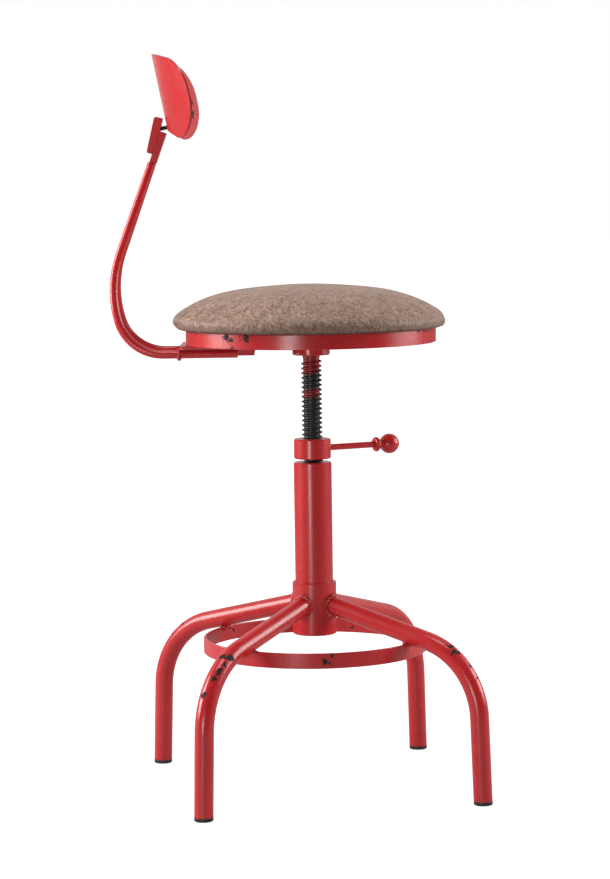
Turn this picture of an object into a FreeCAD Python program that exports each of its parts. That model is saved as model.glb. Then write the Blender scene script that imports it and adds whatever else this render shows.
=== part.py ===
"""Round swivel stool: a padded seat with a small steel back on a threaded screw, and a four-legged tube base.

The origin lies on the floor under the column's axis, Z points up and the sitter faces -Y.
Every size is in millimetres and every angle in degrees.
"""
import FreeCAD, Part
import math
import os

import Sketcher

doc = FreeCAD.newDocument("round_stool")
Vector = FreeCAD.Vector
UP = Vector(0, 0, 1)
ALONG_X = Vector(1, 0, 0)
ALONG_Y = Vector(0, 1, 0)

# Driving sizes: name, number and meaning
SIZES = (
    ("column_diameter", "50.8", "outside of the fixed column"),
    ("column_wall", "2.6", "wall of the column's tube"),
    ("column_top", "432.3", "height of the column tube's upper end"),
    ("hub_diameter", "59", "outside of the hub round the column's foot"),
    ("hub_height", "71", "length of the hub"),
    ("hub_level", "205.4", "height of the hub's lower end"),
    ("leg_diameter", "25", "outside of a leg's tube"),
    ("leg_wall", "1.6", "wall of a leg's tube"),
    ("leg_slope", "13.7", "fall of a leg's upper run, degrees"),
    ("leg_lean", "2.2", "outward lean of a leg's lower run, degrees"),
    ("leg_bend", "102.5", "radius of a leg's bend at its centreline"),
    ("leg_root", "252.2", "height where a leg's upper centreline would meet the column's axis"),
    ("foot_radius", "260.7", "distance from the axis to the middle of a foot"),
    ("leg_azimuth", "55.65", "direction of the rear left leg, degrees from +X"),
    ("cap_height", "5", "visible height of a foot cap"),
    ("cap_rounding", "1.8", "rounding of a foot cap's lower edge"),
    ("plug_length", "14", "part of a foot cap inside the leg"),
    ("plug_clearance", "0.3", "gap between a foot cap's plug and the leg's bore"),
    ("foot_ring_diameter", "300", "outside of the foot ring"),
    ("foot_ring_height", "20", "height of the foot ring's flat bar"),
    ("foot_ring_thickness", "4", "thickness of the foot ring's flat bar"),
    ("edge_break", "0.6", "rounding of the edges of flat bars and rings"),
    ("weld_bead", "2.8", "radius of a weld bead"),
    ("ring_weld_length", "17.5", "length of the foot ring's weld under a leg"),
    ("weld_gap", "0.05", "gap between welded or pressed pieces"),
    ("pitch", "6.35", "rise of the screw's thread in one turn"),
    ("screw_diameter", "27.8", "outside of the screw's thread"),
    ("thread_depth", "3.1", "height of a thread's tooth"),
    ("tooth_root", "4.2", "width of a tooth at its root"),
    ("tooth_crest", "1.2", "width of a tooth at its crest"),
    ("thread_clearance", "0.25", "gap between the screw's thread and the threads around it"),
    ("nut_flange", "5", "thickness of the nut's flange on top of the column"),
    ("nut_length", "40", "whole length of the column nut"),
    ("collar_diameter", "49.5", "outside of the lock collar"),
    ("collar_height", "26.5", "height of the lock collar"),
    ("collar_gap", "5", "distance from the column nut up to the lock collar"),
    ("chamfer", "1.2", "chamfer of the turned pieces"),
    ("washer_bore", "34.4", "bore of the friction washer under the lock collar"),
    ("washer_diameter", "43.6", "outside of the friction washer"),
    ("washer_thickness", "2", "thickness of the friction washer"),
    ("slide_clearance", "0.1", "gap of the sliding and turning fits"),
    ("lever_diameter", "8.4", "diameter of the lever rod"),
    ("lever_azimuth", "-63", "direction of the lever, degrees from +X"),
    ("lever_depth", "5.5", "depth of the lever rod's seat in the collar"),
    ("ball_radius", "13.5", "radius of the lever's ball"),
    ("ball_distance", "117.8", "distance from the axis to the ball's centre"),
    ("bead_diameter", "20", "diameter of the bead behind the ball"),
    ("bead_width", "6", "width of the bead"),
    ("bead_distance", "97.5", "distance from the axis to the bead's middle"),
    ("neck_diameter", "13", "neck between the bead and the ball"),
    ("guide_level", "314", "height of the guide bush's lower face"),
    ("guide_height", "13", "height of the guide bush"),
    ("spigot_diameter", "16", "end of the screw that turns in the guide bush"),
    ("end_play", "0.2", "end play of the guide bush on its spigot"),
    ("thread_start", "6", "plain length of the screw above the guide bush"),
    ("stop_washer_diameter", "30", "outside of the stop washer"),
    ("stop_washer_thickness", "2.5", "thickness of the stop washer"),
    ("stop_bolt_diameter", "10", "diameter of the stop bolt"),
    ("stop_bolt_depth", "22", "depth of the stop bolt's hole in the screw"),
    ("stop_bolt_head", "17", "width across the flats of the stop bolt's head"),
    ("stop_bolt_head_height", "6.4", "height of the stop bolt's head"),
    ("boss_diameter", "50", "outside of the boss on top of the screw"),
    ("boss_height", "16.7", "height of the boss under the seat frame"),
    ("shoulder_diameter", "23", "plain end of the screw under the boss"),
    ("shoulder_height", "4", "length of the screw's plain end"),
    ("stub_diameter", "20", "end of the screw welded into the boss"),
    ("apron_diameter", "334", "outside of the apron ring"),
    ("apron_height", "19.4", "height of the apron ring"),
    ("apron_thickness", "3", "thickness of the apron ring"),
    ("apron_level", "598", "height of the apron ring's lower edge"),
    ("bar_width", "30", "width of the underframe bars"),
    ("bar_thickness", "5", "thickness of the underframe bars"),
    ("tab_length", "22", "radial length of the tabs inside the apron ring"),
    ("tab_width", "26", "width of the tabs"),
    ("tab_thickness", "3", "thickness of the tabs"),
    ("cover_thickness", "1.2", "thickness of the seat cover"),
    ("hem_width", "34", "width of the cover's hem under the seat board"),
    ("board_inset", "3", "distance from the apron ring's outside in to the seat board's edge"),
    ("board_thickness", "12", "thickness of the seat board"),
    ("board_screw_diameter", "4.5", "shank of the wood screws"),
    ("board_screw_length", "14", "length of the wood screws under the head"),
    ("board_screw_head", "9", "head of the wood screws"),
    ("board_screw_head_height", "2.6", "height of the wood screws' heads"),
    ("cushion_overhang", "15.5", "distance that the cushion stands out past the apron ring"),
    ("cushion_top", "676", "height of the cushion's crown"),
    ("cushion_nose", "12", "radius of the cushion's side"),
    ("cushion_shoulder", "90", "radius between the cushion's side and its crown"),
    ("cushion_fall", "33.08", "fall of the crown's arc from its middle to the cushion's side"),
    ("rod_diameter", "11", "diameter of the back rods"),
    ("rod_spacing", "97", "distance between the back rods under the seat"),
    ("rod_tilt", "9.67", "inward tilt of each back rod's plane, degrees"),
    ("rod_reach", "22", "straight part of the rods behind the mounting plate"),
    ("rod_bend", "61.3", "radius of the rods' lower bend"),
    ("rod_bend_angle", "74.1", "angle of the rods' lower bend, degrees"),
    ("rod_sweep", "148.1", "radius of the rods' long upper bend"),
    ("rod_lean", "19.84", "forward lean of the rods' upper run, degrees"),
    ("plate_width", "108", "width of the back's mounting plate"),
    ("plate_length", "98", "length of the mounting plate, front to rear"),
    ("plate_overhang", "6", "part of the mounting plate behind the apron ring"),
    ("plate_thickness", "5", "thickness of the mounting plate"),
    ("plate_rounding", "3", "rounding of the mounting plate's corners"),
    ("stop_bar_height", "8", "height of the bar in front of the rods"),
    ("stop_bar_width", "22", "width of the same bar, front to rear"),
    ("mount_bolt_diameter", "8", "diameter of the mounting bolts"),
    ("mount_bolt_head", "13", "width across the flats of the mounting bolts and nuts"),
    ("mount_bolt_head_height", "5.3", "height of the mounting bolts' heads"),
    ("mount_nut_height", "6.5", "height of the mounting nuts"),
    ("mount_bolt_inset", "18", "distance from the apron ring's inside to the rear mounting bolt"),
    ("mount_bolt_spacing", "38", "distance between the two mounting bolts"),
    ("strap_width", "24", "width of the strap and the block on the rods' upper ends"),
    ("strap_thickness", "9", "thickness of the strap"),
    ("strap_length", "43.5", "length of the strap"),
    ("block_height", "49", "length of the block behind the strap"),
    ("block_thickness", "11.3", "thickness of the block"),
    ("block_lean", "13.3", "forward lean of the block, degrees"),
    ("block_rise", "17.2", "length of the block above the strap's upper end"),
    ("block_rounding", "3", "rounding of the block's rear edges"),
    ("pan_width", "282", "width of the back pan"),
    ("pan_height", "102", "height of the back pan in its middle"),
    ("pan_curve", "266", "radius to which the back pan is curved"),
    ("pan_thickness", "2", "thickness of the back pan"),
    ("pan_lean", "11", "backward lean of the back pan, degrees"),
    ("pan_top_radius", "430", "radius of the back pan's upper edge"),
    ("pan_corner_radius", "50", "radius of the back pan's upper corners"),
    ("pan_lobe_radius", "45", "radius of the back pan's lower lobes"),
    ("pan_bottom_radius", "280", "radius of the hollow in the back pan's lower edge"),
    ("pan_rise", "34.6", "distance along the block from its lower end up to the pan's lower edge"),
    ("pan_gap", "9.72", "distance from the block's front face to the pan's lower edge"),
    ("pan_screw_diameter", "3.5", "diameter of the back pan's screws"),
    ("pan_screw_clearance", "0.1", "gap round the screws in the back pan and its spacers"),
    ("pan_screw_head", "7", "head of the back pan's screws"),
    ("pan_screw_head_height", "2.4", "height of the screws' heads"),
    ("pan_screw_length", "16", "length of the back pan's screws under the head"),
    ("pan_screw_level", "4.5", "distance from the pan's lower edge up to its screws"),
    ("pan_screw_spacing", "11", "distance between the two screws, side by side"),
    ("spacer_diameter", "5", "outside of the spacers between the pan and the block"),
    ("spacer_length", "11", "length of the spacers before they are cut to the block"),
)

LEGS = ("rear_left", "rear_right", "front_right", "front_left")
RIGHT_ANGLE = 90
FULL_TURN = 360
# Whole turns that a tapped thread starts below its body
LEAD_TURNS = 1
# Share of a tooth's height that is sunk in the screw's core, so that the two join
TOOTH_SINK = 0.2
# Cosine above which an edge counts as lying along a direction
ALIGNED = 0.999


class Measure:
    """A size that knows its value and the expression that gives it."""

    def __init__(self, value, text):
        self.value = value
        self.text = text

    def join(self, sign, other, value):
        return Measure(value, f"({self.text} {sign} {other.text})")

    def __add__(self, other):
        other = measure(other)
        return self.join("+", other, self.value + other.value)

    def __sub__(self, other):
        other = measure(other)
        return self.join("-", other, self.value - other.value)

    def __mul__(self, other):
        other = measure(other)
        return self.join("*", other, self.value * other.value)

    def __truediv__(self, other):
        other = measure(other)
        return self.join("/", other, self.value / other.value)

    def __radd__(self, other):
        return measure(other) + self

    def __rsub__(self, other):
        return measure(other) - self

    def __rmul__(self, other):
        return measure(other) * self

    def __neg__(self):
        return measure(0) - self


def measure(item):
    return item if isinstance(item, Measure) else Measure(float(item), str(item))


def sine(angle):
    return Measure(math.sin(math.radians(angle.value)), f"sin({angle.text})")


def cosine(angle):
    return Measure(math.cos(math.radians(angle.value)), f"cos({angle.text})")


def tangent(angle):
    return Measure(math.tan(math.radians(angle.value)), f"tan({angle.text})")


def arc_tangent(item):
    return Measure(math.degrees(math.atan(item.value)), f"(atan({item.text}) / 1 deg)")


def square_root(item):
    return Measure(math.sqrt(item.value), f"sqrt({item.text})")


def whole_number(item):
    return Measure(math.floor(item.value), f"floor({item.text})")


class Sizes:
    """The driving sizes, and the sizes worked out from them, each under its own name."""

    def __init__(self):
        driving = doc.addObject("Spreadsheet::Sheet", "sizes")
        for row, (name, number, note) in enumerate(SIZES, start=1):
            driving.set(f"A{row}", name)
            driving.set(f"B{row}", number)
            driving.set(f"C{row}", note)
            driving.setAlias(f"B{row}", name)
            setattr(self, name, Measure(float(number), f"sizes.{name}"))
        self.derived = doc.addObject("Spreadsheet::Sheet", "derived")
        self.rows = 0
        doc.recompute()

    def keep(self, name, item):
        """Writes a derived size to its own cell, so that other sizes can name it."""
        self.rows += 1
        self.derived.set(f"A{self.rows}", name)
        self.derived.set(f"B{self.rows}", "=" + item.text.replace("derived.", ""))
        self.derived.setAlias(f"B{self.rows}", name)
        self.derived.recompute()
        kept = Measure(item.value, f"derived.{name}")
        setattr(self, name, kept)
        return kept


s = Sizes()


def bind(thing, name, item):
    thing.setExpression(name, measure(item).text)


def origin_part(body, role):
    return next(part for part in body.Origin.OriginFeatures if part.Role == role)


def new_body(name):
    body = doc.addObject("PartDesign::Body", name)
    body.Label = name
    body.AllowCompound = True
    return body


def new_sketch(body, plane, lift=None):
    """A sketch on one of the body's own planes, moved along the plane's normal by lift."""
    sketch = body.newObject("Sketcher::SketchObject", f"{body.Name}_sketch")
    sketch.AttachmentSupport = [(origin_part(body, plane), "")]
    sketch.MapMode = "FlatFace"
    if lift is not None:
        bind(sketch, "AttachmentOffset.Base.z", lift)
    return sketch


def constrain(sketch, kind, *items):
    """Adds a constraint whose last item is a Measure, and binds it when the Measure names a size."""
    size = items[-1]
    number = sketch.addConstraint(Sketcher.Constraint(kind, *items[:-1], size.value))
    if "." in size.text and size.text != str(size.value):
        sketch.setExpression(f"Constraints[{number}]", size.text)


def pin(sketch, edge, end, x, y):
    """Holds one end of an edge at x and y."""
    constrain(sketch, "DistanceX", -1, 1, edge, end, measure(x))
    constrain(sketch, "DistanceY", -1, 1, edge, end, measure(y))


def circle(sketch, radius, x=0, y=0):
    middle = Vector(measure(x).value, measure(y).value, 0)
    edge = sketch.addGeometry(Part.Circle(middle, UP, radius.value))
    constrain(sketch, "Radius", edge, radius)
    pin(sketch, edge, 3, x, y)


def arc_between(start, finish, side, radius):
    """The arc of under a half circle from start to finish that turns left or right."""
    chord = finish - start
    left = Vector(-chord.y, chord.x, 0).normalize()
    rise = math.sqrt(radius ** 2 - (chord.Length / 2) ** 2)
    centre = (start + finish) / 2 + left * (rise if side == "left" else -rise)
    ends = (start, finish) if side == "left" else (finish, start)
    first, last = (math.atan2(end.y - centre.y, end.x - centre.x) for end in ends)
    if last < first:
        last += 2 * math.pi
    return Part.ArcOfCircle(Part.Circle(centre, UP, radius), first, last)


def draw_edge(sketch, start, finish, corner):
    """Draws one edge and returns its number with the numbers of its starting and finishing ends."""
    if len(corner) == 2:
        return sketch.addGeometry(Part.LineSegment(start, finish)), 1, 2
    side, radius = corner[2], measure(corner[3])
    edge = sketch.addGeometry(arc_between(start, finish, side, radius.value))
    constrain(sketch, "Radius", edge, radius)
    return (edge, 1, 2) if side == "left" else (edge, 2, 1)


def trace(sketch, corners, closed=True):
    """Draws edges through the corners.

    A corner (x, y) is reached by a straight line, and (x, y, side, radius) by an arc that turns to that side.
    A closed outline ends at its first corner.
    """
    points = [Vector(measure(corner[0]).value, measure(corner[1]).value, 0) for corner in corners]
    count = len(corners)
    edges = []
    for step in range(1, count + 1 if closed else count):
        edges.append(draw_edge(sketch, points[step - 1], points[step % count], corners[step % count]))
    following_edges = edges[1:] + edges[:1] if closed else edges[1:]
    for (edge, _, leave), (following, arrive, _) in zip(edges, following_edges):
        sketch.addConstraint(Sketcher.Constraint("Coincident", edge, leave, following, arrive))
    for (edge, arrive, _), corner in zip(edges, corners):
        pin(sketch, edge, arrive, corner[0], corner[1])
    if not closed:
        edge, _, leave = edges[-1]
        pin(sketch, edge, leave, corners[-1][0], corners[-1][1])


def across_axis(width, front, rear):
    """The corners of a plate that lies evenly across the Y axis."""
    return ((-width / 2, front), (width / 2, front), (width / 2, rear), (-width / 2, rear))


def hexagon(sketch, across, x=0, y=0):
    """A hexagon of the given width across its flats."""
    corners = []
    for corner in range(6):
        angle = measure(60 * corner)
        corners.append((across / math.sqrt(3) * cosine(angle) + x, across / math.sqrt(3) * sine(angle) + y))
    trace(sketch, corners)


def add_feature(body, kind, sketch):
    feature = body.newObject(f"PartDesign::{kind}", f"{body.Name}_{kind.lower()}")
    feature.Profile = sketch
    return feature


def pad(body, sketch, length, midplane=False):
    feature = add_feature(body, "Pad", sketch)
    bind(feature, "Length", length)
    feature.Midplane = midplane
    return feature


def cut_through(body, sketch):
    """Cuts the sketch's area out of the whole body, both ways."""
    doc.recompute()
    feature = add_feature(body, "Pocket", sketch)
    feature.Type = "ThroughAll"
    feature.Midplane = True
    return feature


def turned(name, outline, plane="YZ_Plane", axis="V_Axis"):
    """A body turned about its Z axis from an outline whose corners are (radius, height)."""
    body = new_body(name)
    sketch = new_sketch(body, plane)
    trace(sketch, outline)
    feature = add_feature(body, "Revolution", sketch)
    feature.ReferenceAxis = (sketch, [axis])
    feature.Angle = FULL_TURN
    return body


def follow(body, profile, path):
    """Sweeps the profile along the path."""
    doc.recompute()
    feature = add_feature(body, "AdditivePipe", profile)
    feature.Spine = path
    return feature


def helix(body, kind, sketch, height):
    """Sweeps the sketch along the screw's thread."""
    doc.recompute()
    feature = add_feature(body, kind, sketch)
    feature.ReferenceAxis = (sketch, ["V_Axis"])
    feature.Mode = 0
    feature.Angle = 0
    bind(feature, "Pitch", s.pitch)
    bind(feature, "Height", height)
    feature.HasBeenEdited = True
    return feature


def repeat_round(body, features, count):
    pattern = body.newObject("PartDesign::PolarPattern", f"{body.Name}_pattern")
    pattern.Originals = features
    pattern.Axis = (origin_part(body, "Z_Axis"), [""])
    pattern.Angle = FULL_TURN
    pattern.Occurrences = count
    body.Tip = pattern
    return pattern


def soften(body, radius, wanted):
    """Rounds the edges that the test called wanted picks."""
    doc.recompute()
    base = body.Tip
    edges = [f"Edge{number}" for number, edge in enumerate(base.Shape.Edges, start=1) if wanted(edge)]
    feature = body.newObject("PartDesign::Fillet", f"{body.Name}_fillet")
    feature.Base = (base, edges)
    bind(feature, "Radius", radius)
    return feature


def is_straight_along(edge, direction):
    if not isinstance(edge.Curve, Part.Line):
        return False
    return abs(edge.tangentAt(edge.FirstParameter).dot(direction)) > ALIGNED


def primitive(kind, name, **sizes):
    """A Part primitive whose properties are bound to the given sizes."""
    item = doc.addObject(f"Part::{kind}", name)
    for prop, size in sizes.items():
        bind(item, prop, size)
    return item


def place(item, x=0, y=0, z=0, axis=UP, angle=0):
    """Moves an item to (x, y, z), turned by the angle about the axis."""
    item.Placement = FreeCAD.Placement(Vector(0, 0, 0), FreeCAD.Rotation(axis, 1))
    bind(item, "Placement.Base.x", x)
    bind(item, "Placement.Base.y", y)
    bind(item, "Placement.Base.z", z)
    bind(item, "Placement.Rotation.Angle", angle)
    return item


def take_away(name, base, *tools):
    """Cuts each tool from the base in turn."""
    for number, tool in enumerate(tools, start=1):
        cut = doc.addObject("Part::Cut", name if number == len(tools) else f"{name}_step_{number}")
        cut.Base = base
        cut.Tool = tool
        base = cut
    return base


def group(name, items):
    compound = doc.addObject("Part::Compound", name)
    compound.Links = items
    return compound


def leg_direction(index):
    return s.leg_azimuth + RIGHT_ANGLE * index


def derive_base():
    """The base's levels and the corners of a leg's centreline."""
    s.keep("column_bore", s.column_diameter / 2 - s.column_wall)
    s.keep("nut_top", s.column_top + s.nut_flange)
    s.keep("nut_bottom", s.nut_top - s.nut_length)
    s.keep("collar_level", s.nut_top + s.collar_gap)
    s.keep("lever_level", s.collar_level + s.collar_height / 2)
    half_turn = s.keep("leg_half_turn", (RIGHT_ANGLE - s.leg_slope - s.leg_lean) / 2)
    run = s.keep("leg_bend_run", s.leg_bend * tangent(half_turn))
    fall = s.keep("leg_fall", tangent(s.leg_slope))
    lean = s.keep("leg_spread", tangent(s.leg_lean))
    corner_z = s.keep("leg_corner_level", (s.leg_root - fall * s.foot_radius) / (1 - fall * lean))
    corner_r = s.keep("leg_corner_radius", s.foot_radius - lean * corner_z)
    s.keep("leg_upper_radius", corner_r - run * cosine(s.leg_slope))
    s.keep("leg_upper_level", corner_z + run * sine(s.leg_slope))
    s.keep("leg_lower_radius", corner_r + run * sine(s.leg_lean))
    s.keep("leg_lower_level", corner_z - run * cosine(s.leg_lean))
    # The foot ring's upper edge lies against the underside of the legs
    leg_underside = s.leg_root - fall * s.foot_ring_diameter / 2 - s.leg_diameter / 2 / cosine(s.leg_slope)
    s.keep("foot_ring_top", leg_underside - s.weld_gap)


def derive_seat():
    """The seat's levels and the centre of the cushion's shoulder arc."""
    s.keep("boss_level", s.apron_level - s.boss_height)
    s.keep("shoulder_level", s.boss_level - s.shoulder_height)
    s.keep("guide_top", s.guide_level + s.guide_height)
    s.keep("screw_bottom", s.guide_level - s.end_play)
    s.keep("thread_level", s.guide_top + s.thread_start)
    s.keep("core_radius", s.screw_diameter / 2 - s.thread_depth)
    s.keep("apron_inside", s.apron_diameter / 2 - s.apron_thickness)
    s.keep("apron_top", s.apron_level + s.apron_height)
    s.keep("board_level", s.apron_top + s.cover_thickness)
    s.keep("board_radius", s.apron_diameter / 2 - s.board_inset)
    s.keep("board_screw_radius", s.apron_inside - s.tab_length / 2)
    s.keep("board_screw_under", s.apron_top - s.tab_thickness - s.weld_gap)
    s.keep("board_screw_tip", s.board_screw_under + s.board_screw_length)
    reach = s.keep("cushion_radius", s.apron_diameter / 2 + s.cushion_overhang)
    s.keep("cushion_crown", (reach * reach + s.cushion_fall * s.cushion_fall) / (2 * s.cushion_fall))
    nose_r = s.keep("nose_centre", reach - s.cushion_nose)
    nose_z = s.keep("nose_level", s.apron_top + s.cushion_nose)
    dome_z = s.keep("dome_level", s.cushion_top - s.cushion_crown)
    # The shoulder arc touches the crown arc and the nose arc, so its centre is at known distances from theirs
    from_dome = s.keep("dome_reach", s.cushion_crown - s.cushion_shoulder)
    from_nose = s.keep("nose_reach", s.cushion_shoulder - s.cushion_nose)
    rise = s.keep("nose_rise", nose_z - dome_z)
    span = s.keep("nose_span", square_root(nose_r * nose_r + rise * rise))
    along = s.keep("along_span", (from_dome * from_dome - from_nose * from_nose + span * span) / (2 * span))
    off = s.keep("off_span", square_root(from_dome * from_dome - along * along))
    s.keep("shoulder_centre", (along * nose_r - off * rise) / span)
    s.keep("shoulder_centre_level", dome_z + (along * rise + off * nose_r) / span)


def derive_back():
    """The mounting plate's place, the bends of the rods, and the frames of the strap, the block and the pan."""
    s.keep("mount_bolt_rear", s.apron_inside - s.mount_bolt_inset)
    s.keep("mount_bolt_front", s.mount_bolt_rear - s.mount_bolt_spacing)
    s.keep("plate_rear", s.apron_diameter / 2 + s.plate_overhang)
    s.keep("plate_front", s.plate_rear - s.plate_length)
    s.keep("rod_front", s.plate_front + s.stop_bar_width)
    s.keep("rod_run", s.plate_rear + s.rod_reach)
    s.keep("plate_level", s.apron_level - s.plate_thickness)
    s.keep("rod_level", s.plate_level - s.rod_diameter / 2 - s.weld_gap)
    turn_end = s.keep("rod_turn", RIGHT_ANGLE + s.rod_lean)
    s.keep("bend_end_y", s.rod_run + s.rod_bend * sine(s.rod_bend_angle))
    s.keep("bend_end_rise", s.rod_bend - s.rod_bend * cosine(s.rod_bend_angle))
    s.keep("sweep_end_y", s.bend_end_y + s.rod_sweep * (sine(turn_end) - sine(s.rod_bend_angle)))
    s.keep("sweep_end_rise", s.bend_end_rise + s.rod_sweep * (cosine(s.rod_bend_angle) - cosine(turn_end)))
    # The rods end where they touch each other under the strap
    touch = s.rod_diameter / 2 + s.weld_gap
    s.keep("rod_end_rise", (s.rod_spacing / 2 - touch * cosine(s.rod_tilt)) / sine(s.rod_tilt) - touch * sine(
        s.rod_tilt))
    s.keep("rod_end_y", s.sweep_end_y - (s.rod_end_rise - s.sweep_end_rise) * tangent(s.rod_lean))
    s.keep("strap_lean", arc_tangent(tangent(s.rod_lean) / cosine(s.rod_tilt)))
    s.keep("strap_level", s.rod_level + s.rod_end_rise * cosine(s.rod_tilt))
    # The outer edges of the rods' ends stand a little higher than their middles
    s.keep("strap_start", touch * sine(s.rod_tilt) + s.weld_gap)
    # The block's front face passes through the upper rear edge of the strap
    rear = s.keep("strap_rear", s.strap_thickness - s.rod_diameter / 2)
    strap_top_y = s.rod_end_y + rear * cosine(s.strap_lean) - s.strap_length * sine(s.strap_lean)
    strap_top_z = s.strap_level + rear * sine(s.strap_lean) + s.strap_length * cosine(s.strap_lean)
    drop = s.keep("block_drop", s.block_height - s.block_rise)
    s.keep("block_y", strap_top_y + drop * sine(s.block_lean))
    s.keep("block_level", strap_top_z - drop * cosine(s.block_lean))
    s.keep("pan_setback", s.block_y - s.pan_rise * sine(s.block_lean) - s.pan_gap * cosine(s.block_lean))
    s.keep("pan_level", s.block_level + s.pan_rise * cosine(s.block_lean) - s.pan_gap * sine(s.block_lean))


def derive_pan():
    """The points where the arcs of the back pan's outline meet."""
    top, corner, lobe, under = s.pan_top_radius, s.pan_corner_radius, s.pan_lobe_radius, s.pan_bottom_radius
    half = s.keep("pan_half", s.pan_width / 2)
    corner_x = s.keep("pan_corner_x", half - corner)
    top_centre = s.keep("pan_top_centre", s.pan_height - top)
    corner_rise = s.keep("pan_corner_rise", square_root((top - corner) * (top - corner) - corner_x * corner_x))
    s.keep("pan_corner_level", corner_rise + top_centre)
    s.keep("pan_top_x", corner_x * top / (top - corner))
    s.keep("pan_top_level", top_centre + corner_rise * top / (top - corner))
    lobe_x = s.keep("pan_lobe_x", half - lobe)
    lobe_rise = s.keep("pan_lobe_rise", square_root((under + lobe) * (under + lobe) - lobe_x * lobe_x))
    s.keep("pan_lobe_level", lobe_rise - under)
    s.keep("pan_low_x", lobe_x * under / (under + lobe))
    s.keep("pan_low_level", lobe_rise * under / (under + lobe) - under)


def bent_bar(name, *radii):
    """A bar along a leg's centreline, from the top of its foot cap into the hub. A second radius is its bore."""
    body = new_body(name)
    foot = s.foot_radius - s.leg_spread * s.cap_height
    section = new_sketch(body, "XY_Plane", s.cap_height)
    for radius in radii:
        circle(section, radius, foot)
    path = new_sketch(body, "XZ_Plane")
    inside = s.hub_diameter / 4
    trace(path, (
        (foot, s.cap_height),
        (s.leg_lower_radius, s.leg_lower_level),
        (s.leg_upper_radius, s.leg_upper_level, "left", s.leg_bend),
        (inside, s.leg_root - s.leg_fall * inside),
    ), closed=False)
    follow(body, section, path)
    return body


def make_leg(index, name):
    """A tube with one bend, cut to the hub at its upper end and level at its foot."""
    body = bent_bar(f"leg_{name}", s.leg_diameter / 2, s.leg_diameter / 2 - s.leg_wall)
    hub = new_sketch(body, "XY_Plane")
    circle(hub, s.hub_diameter / 2 + s.weld_gap)
    cut_through(body, hub)
    return place(body, angle=leg_direction(index))


def make_cap(index, name):
    """A foot cap: a rim under the leg's end and a plug that leans with the leg."""
    body = new_body(f"foot_cap_{name}")
    outer = s.leg_diameter / 2
    rim = new_sketch(body, "XY_Plane")
    circle(rim, outer, s.foot_radius)
    pad(body, rim, s.cap_height - s.weld_gap)
    middle = s.cap_height.value / 2
    soften(body, s.cap_rounding, lambda edge: isinstance(edge.Curve, Part.Circle) and edge.CenterOfMass.z < middle)
    start, end = s.cap_height / 2, s.cap_height + s.plug_length
    plug = new_sketch(body, "XY_Plane", start)
    circle(plug, outer - s.leg_wall - s.plug_clearance, s.foot_radius - s.leg_spread * start)
    path = new_sketch(body, "XZ_Plane")
    trace(path, tuple((s.foot_radius - s.leg_spread * level, level) for level in (start, end)), closed=False)
    follow(body, plug, path)
    return place(body, angle=leg_direction(index))


def make_leg_welds(leg):
    """A bead round each leg where it meets the hub."""
    beads = []
    distance = s.hub_diameter / 2
    for index, name in enumerate(LEGS):
        bead = primitive("Torus", f"leg_bead_{name}", Radius1=s.leg_diameter / 2, Radius2=s.weld_bead)
        place(bead, distance, 0, s.leg_root - s.leg_fall * distance, ALONG_Y, RIGHT_ANGLE + s.leg_slope)
        hub = primitive("Cylinder", f"leg_bead_hub_{name}", Radius=distance + s.weld_gap, Height=s.column_top)
        cut = take_away(f"leg_weld_{name}", bead, hub, leg)
        beads.append(place(cut, angle=leg_direction(index)))
    return group("leg_welds", beads)


def make_ring_welds(leg):
    """A short bead under each leg, along the foot ring's upper outer corner."""
    beads = []
    length, outside = s.ring_weld_length, s.foot_ring_diameter / 2
    for index, name in enumerate(LEGS):
        bead = primitive("Cylinder", f"ring_bead_{name}", Radius=s.weld_bead, Height=length)
        place(bead, outside, length / 2, s.foot_ring_top, ALONG_X, RIGHT_ANGLE)
        ring = primitive(
            "Cylinder", f"ring_bead_ring_{name}", Radius=outside + s.weld_gap, Height=s.foot_ring_top + s.weld_gap)
        cut = take_away(f"ring_weld_{name}", bead, ring, leg)
        beads.append(place(cut, angle=leg_direction(index)))
    return group("ring_welds", beads)


def rolled_bar(name, outside, thickness, low, high):
    """A flat bar rolled on edge into a ring, with its four edges rounded."""
    inside, r = outside - thickness, s.edge_break
    return turned(name, (
        (inside + r, low, "left", r), (outside - r, low), (outside, low + r, "left", r),
        (outside, high - r), (outside - r, high, "left", r), (inside + r, high),
        (inside, high - r, "left", r), (inside, low + r),
    ))


def make_foot_ring():
    low = s.foot_ring_top - s.foot_ring_height
    return rolled_bar("foot_ring", s.foot_ring_diameter / 2, s.foot_ring_thickness, low, s.foot_ring_top)


def make_hub():
    outside, bore, cut = s.hub_diameter / 2, s.column_diameter / 2 + s.weld_gap, s.chamfer
    low, high = s.hub_level, s.hub_level + s.hub_height
    return turned("hub", (
        (bore, low), (outside - cut, low), (outside, low + cut), (outside, high - cut),
        (outside - cut, high), (bore, high),
    ))


def make_column():
    outside = s.column_diameter / 2
    return turned("column_tube", (
        (s.column_bore, s.hub_level), (outside, s.hub_level),
        (outside, s.column_top), (s.column_bore, s.column_top),
    ))


def tooth(sketch, level, spread):
    """A thread's tooth in section, with its middle at the given level, grown all round by spread."""
    sunk = s.thread_depth * TOOTH_SINK
    slope = (s.tooth_root - s.tooth_crest) / 2 / s.thread_depth
    base, tip = s.core_radius - sunk, s.screw_diameter / 2 + spread
    base_half = s.tooth_root / 2 + slope * sunk + spread
    tip_half = s.tooth_crest / 2 + spread - slope * spread
    trace(sketch, (
        (base, level - base_half), (tip, level - tip_half),
        (tip, level + tip_half), (base, level + base_half),
    ))


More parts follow.
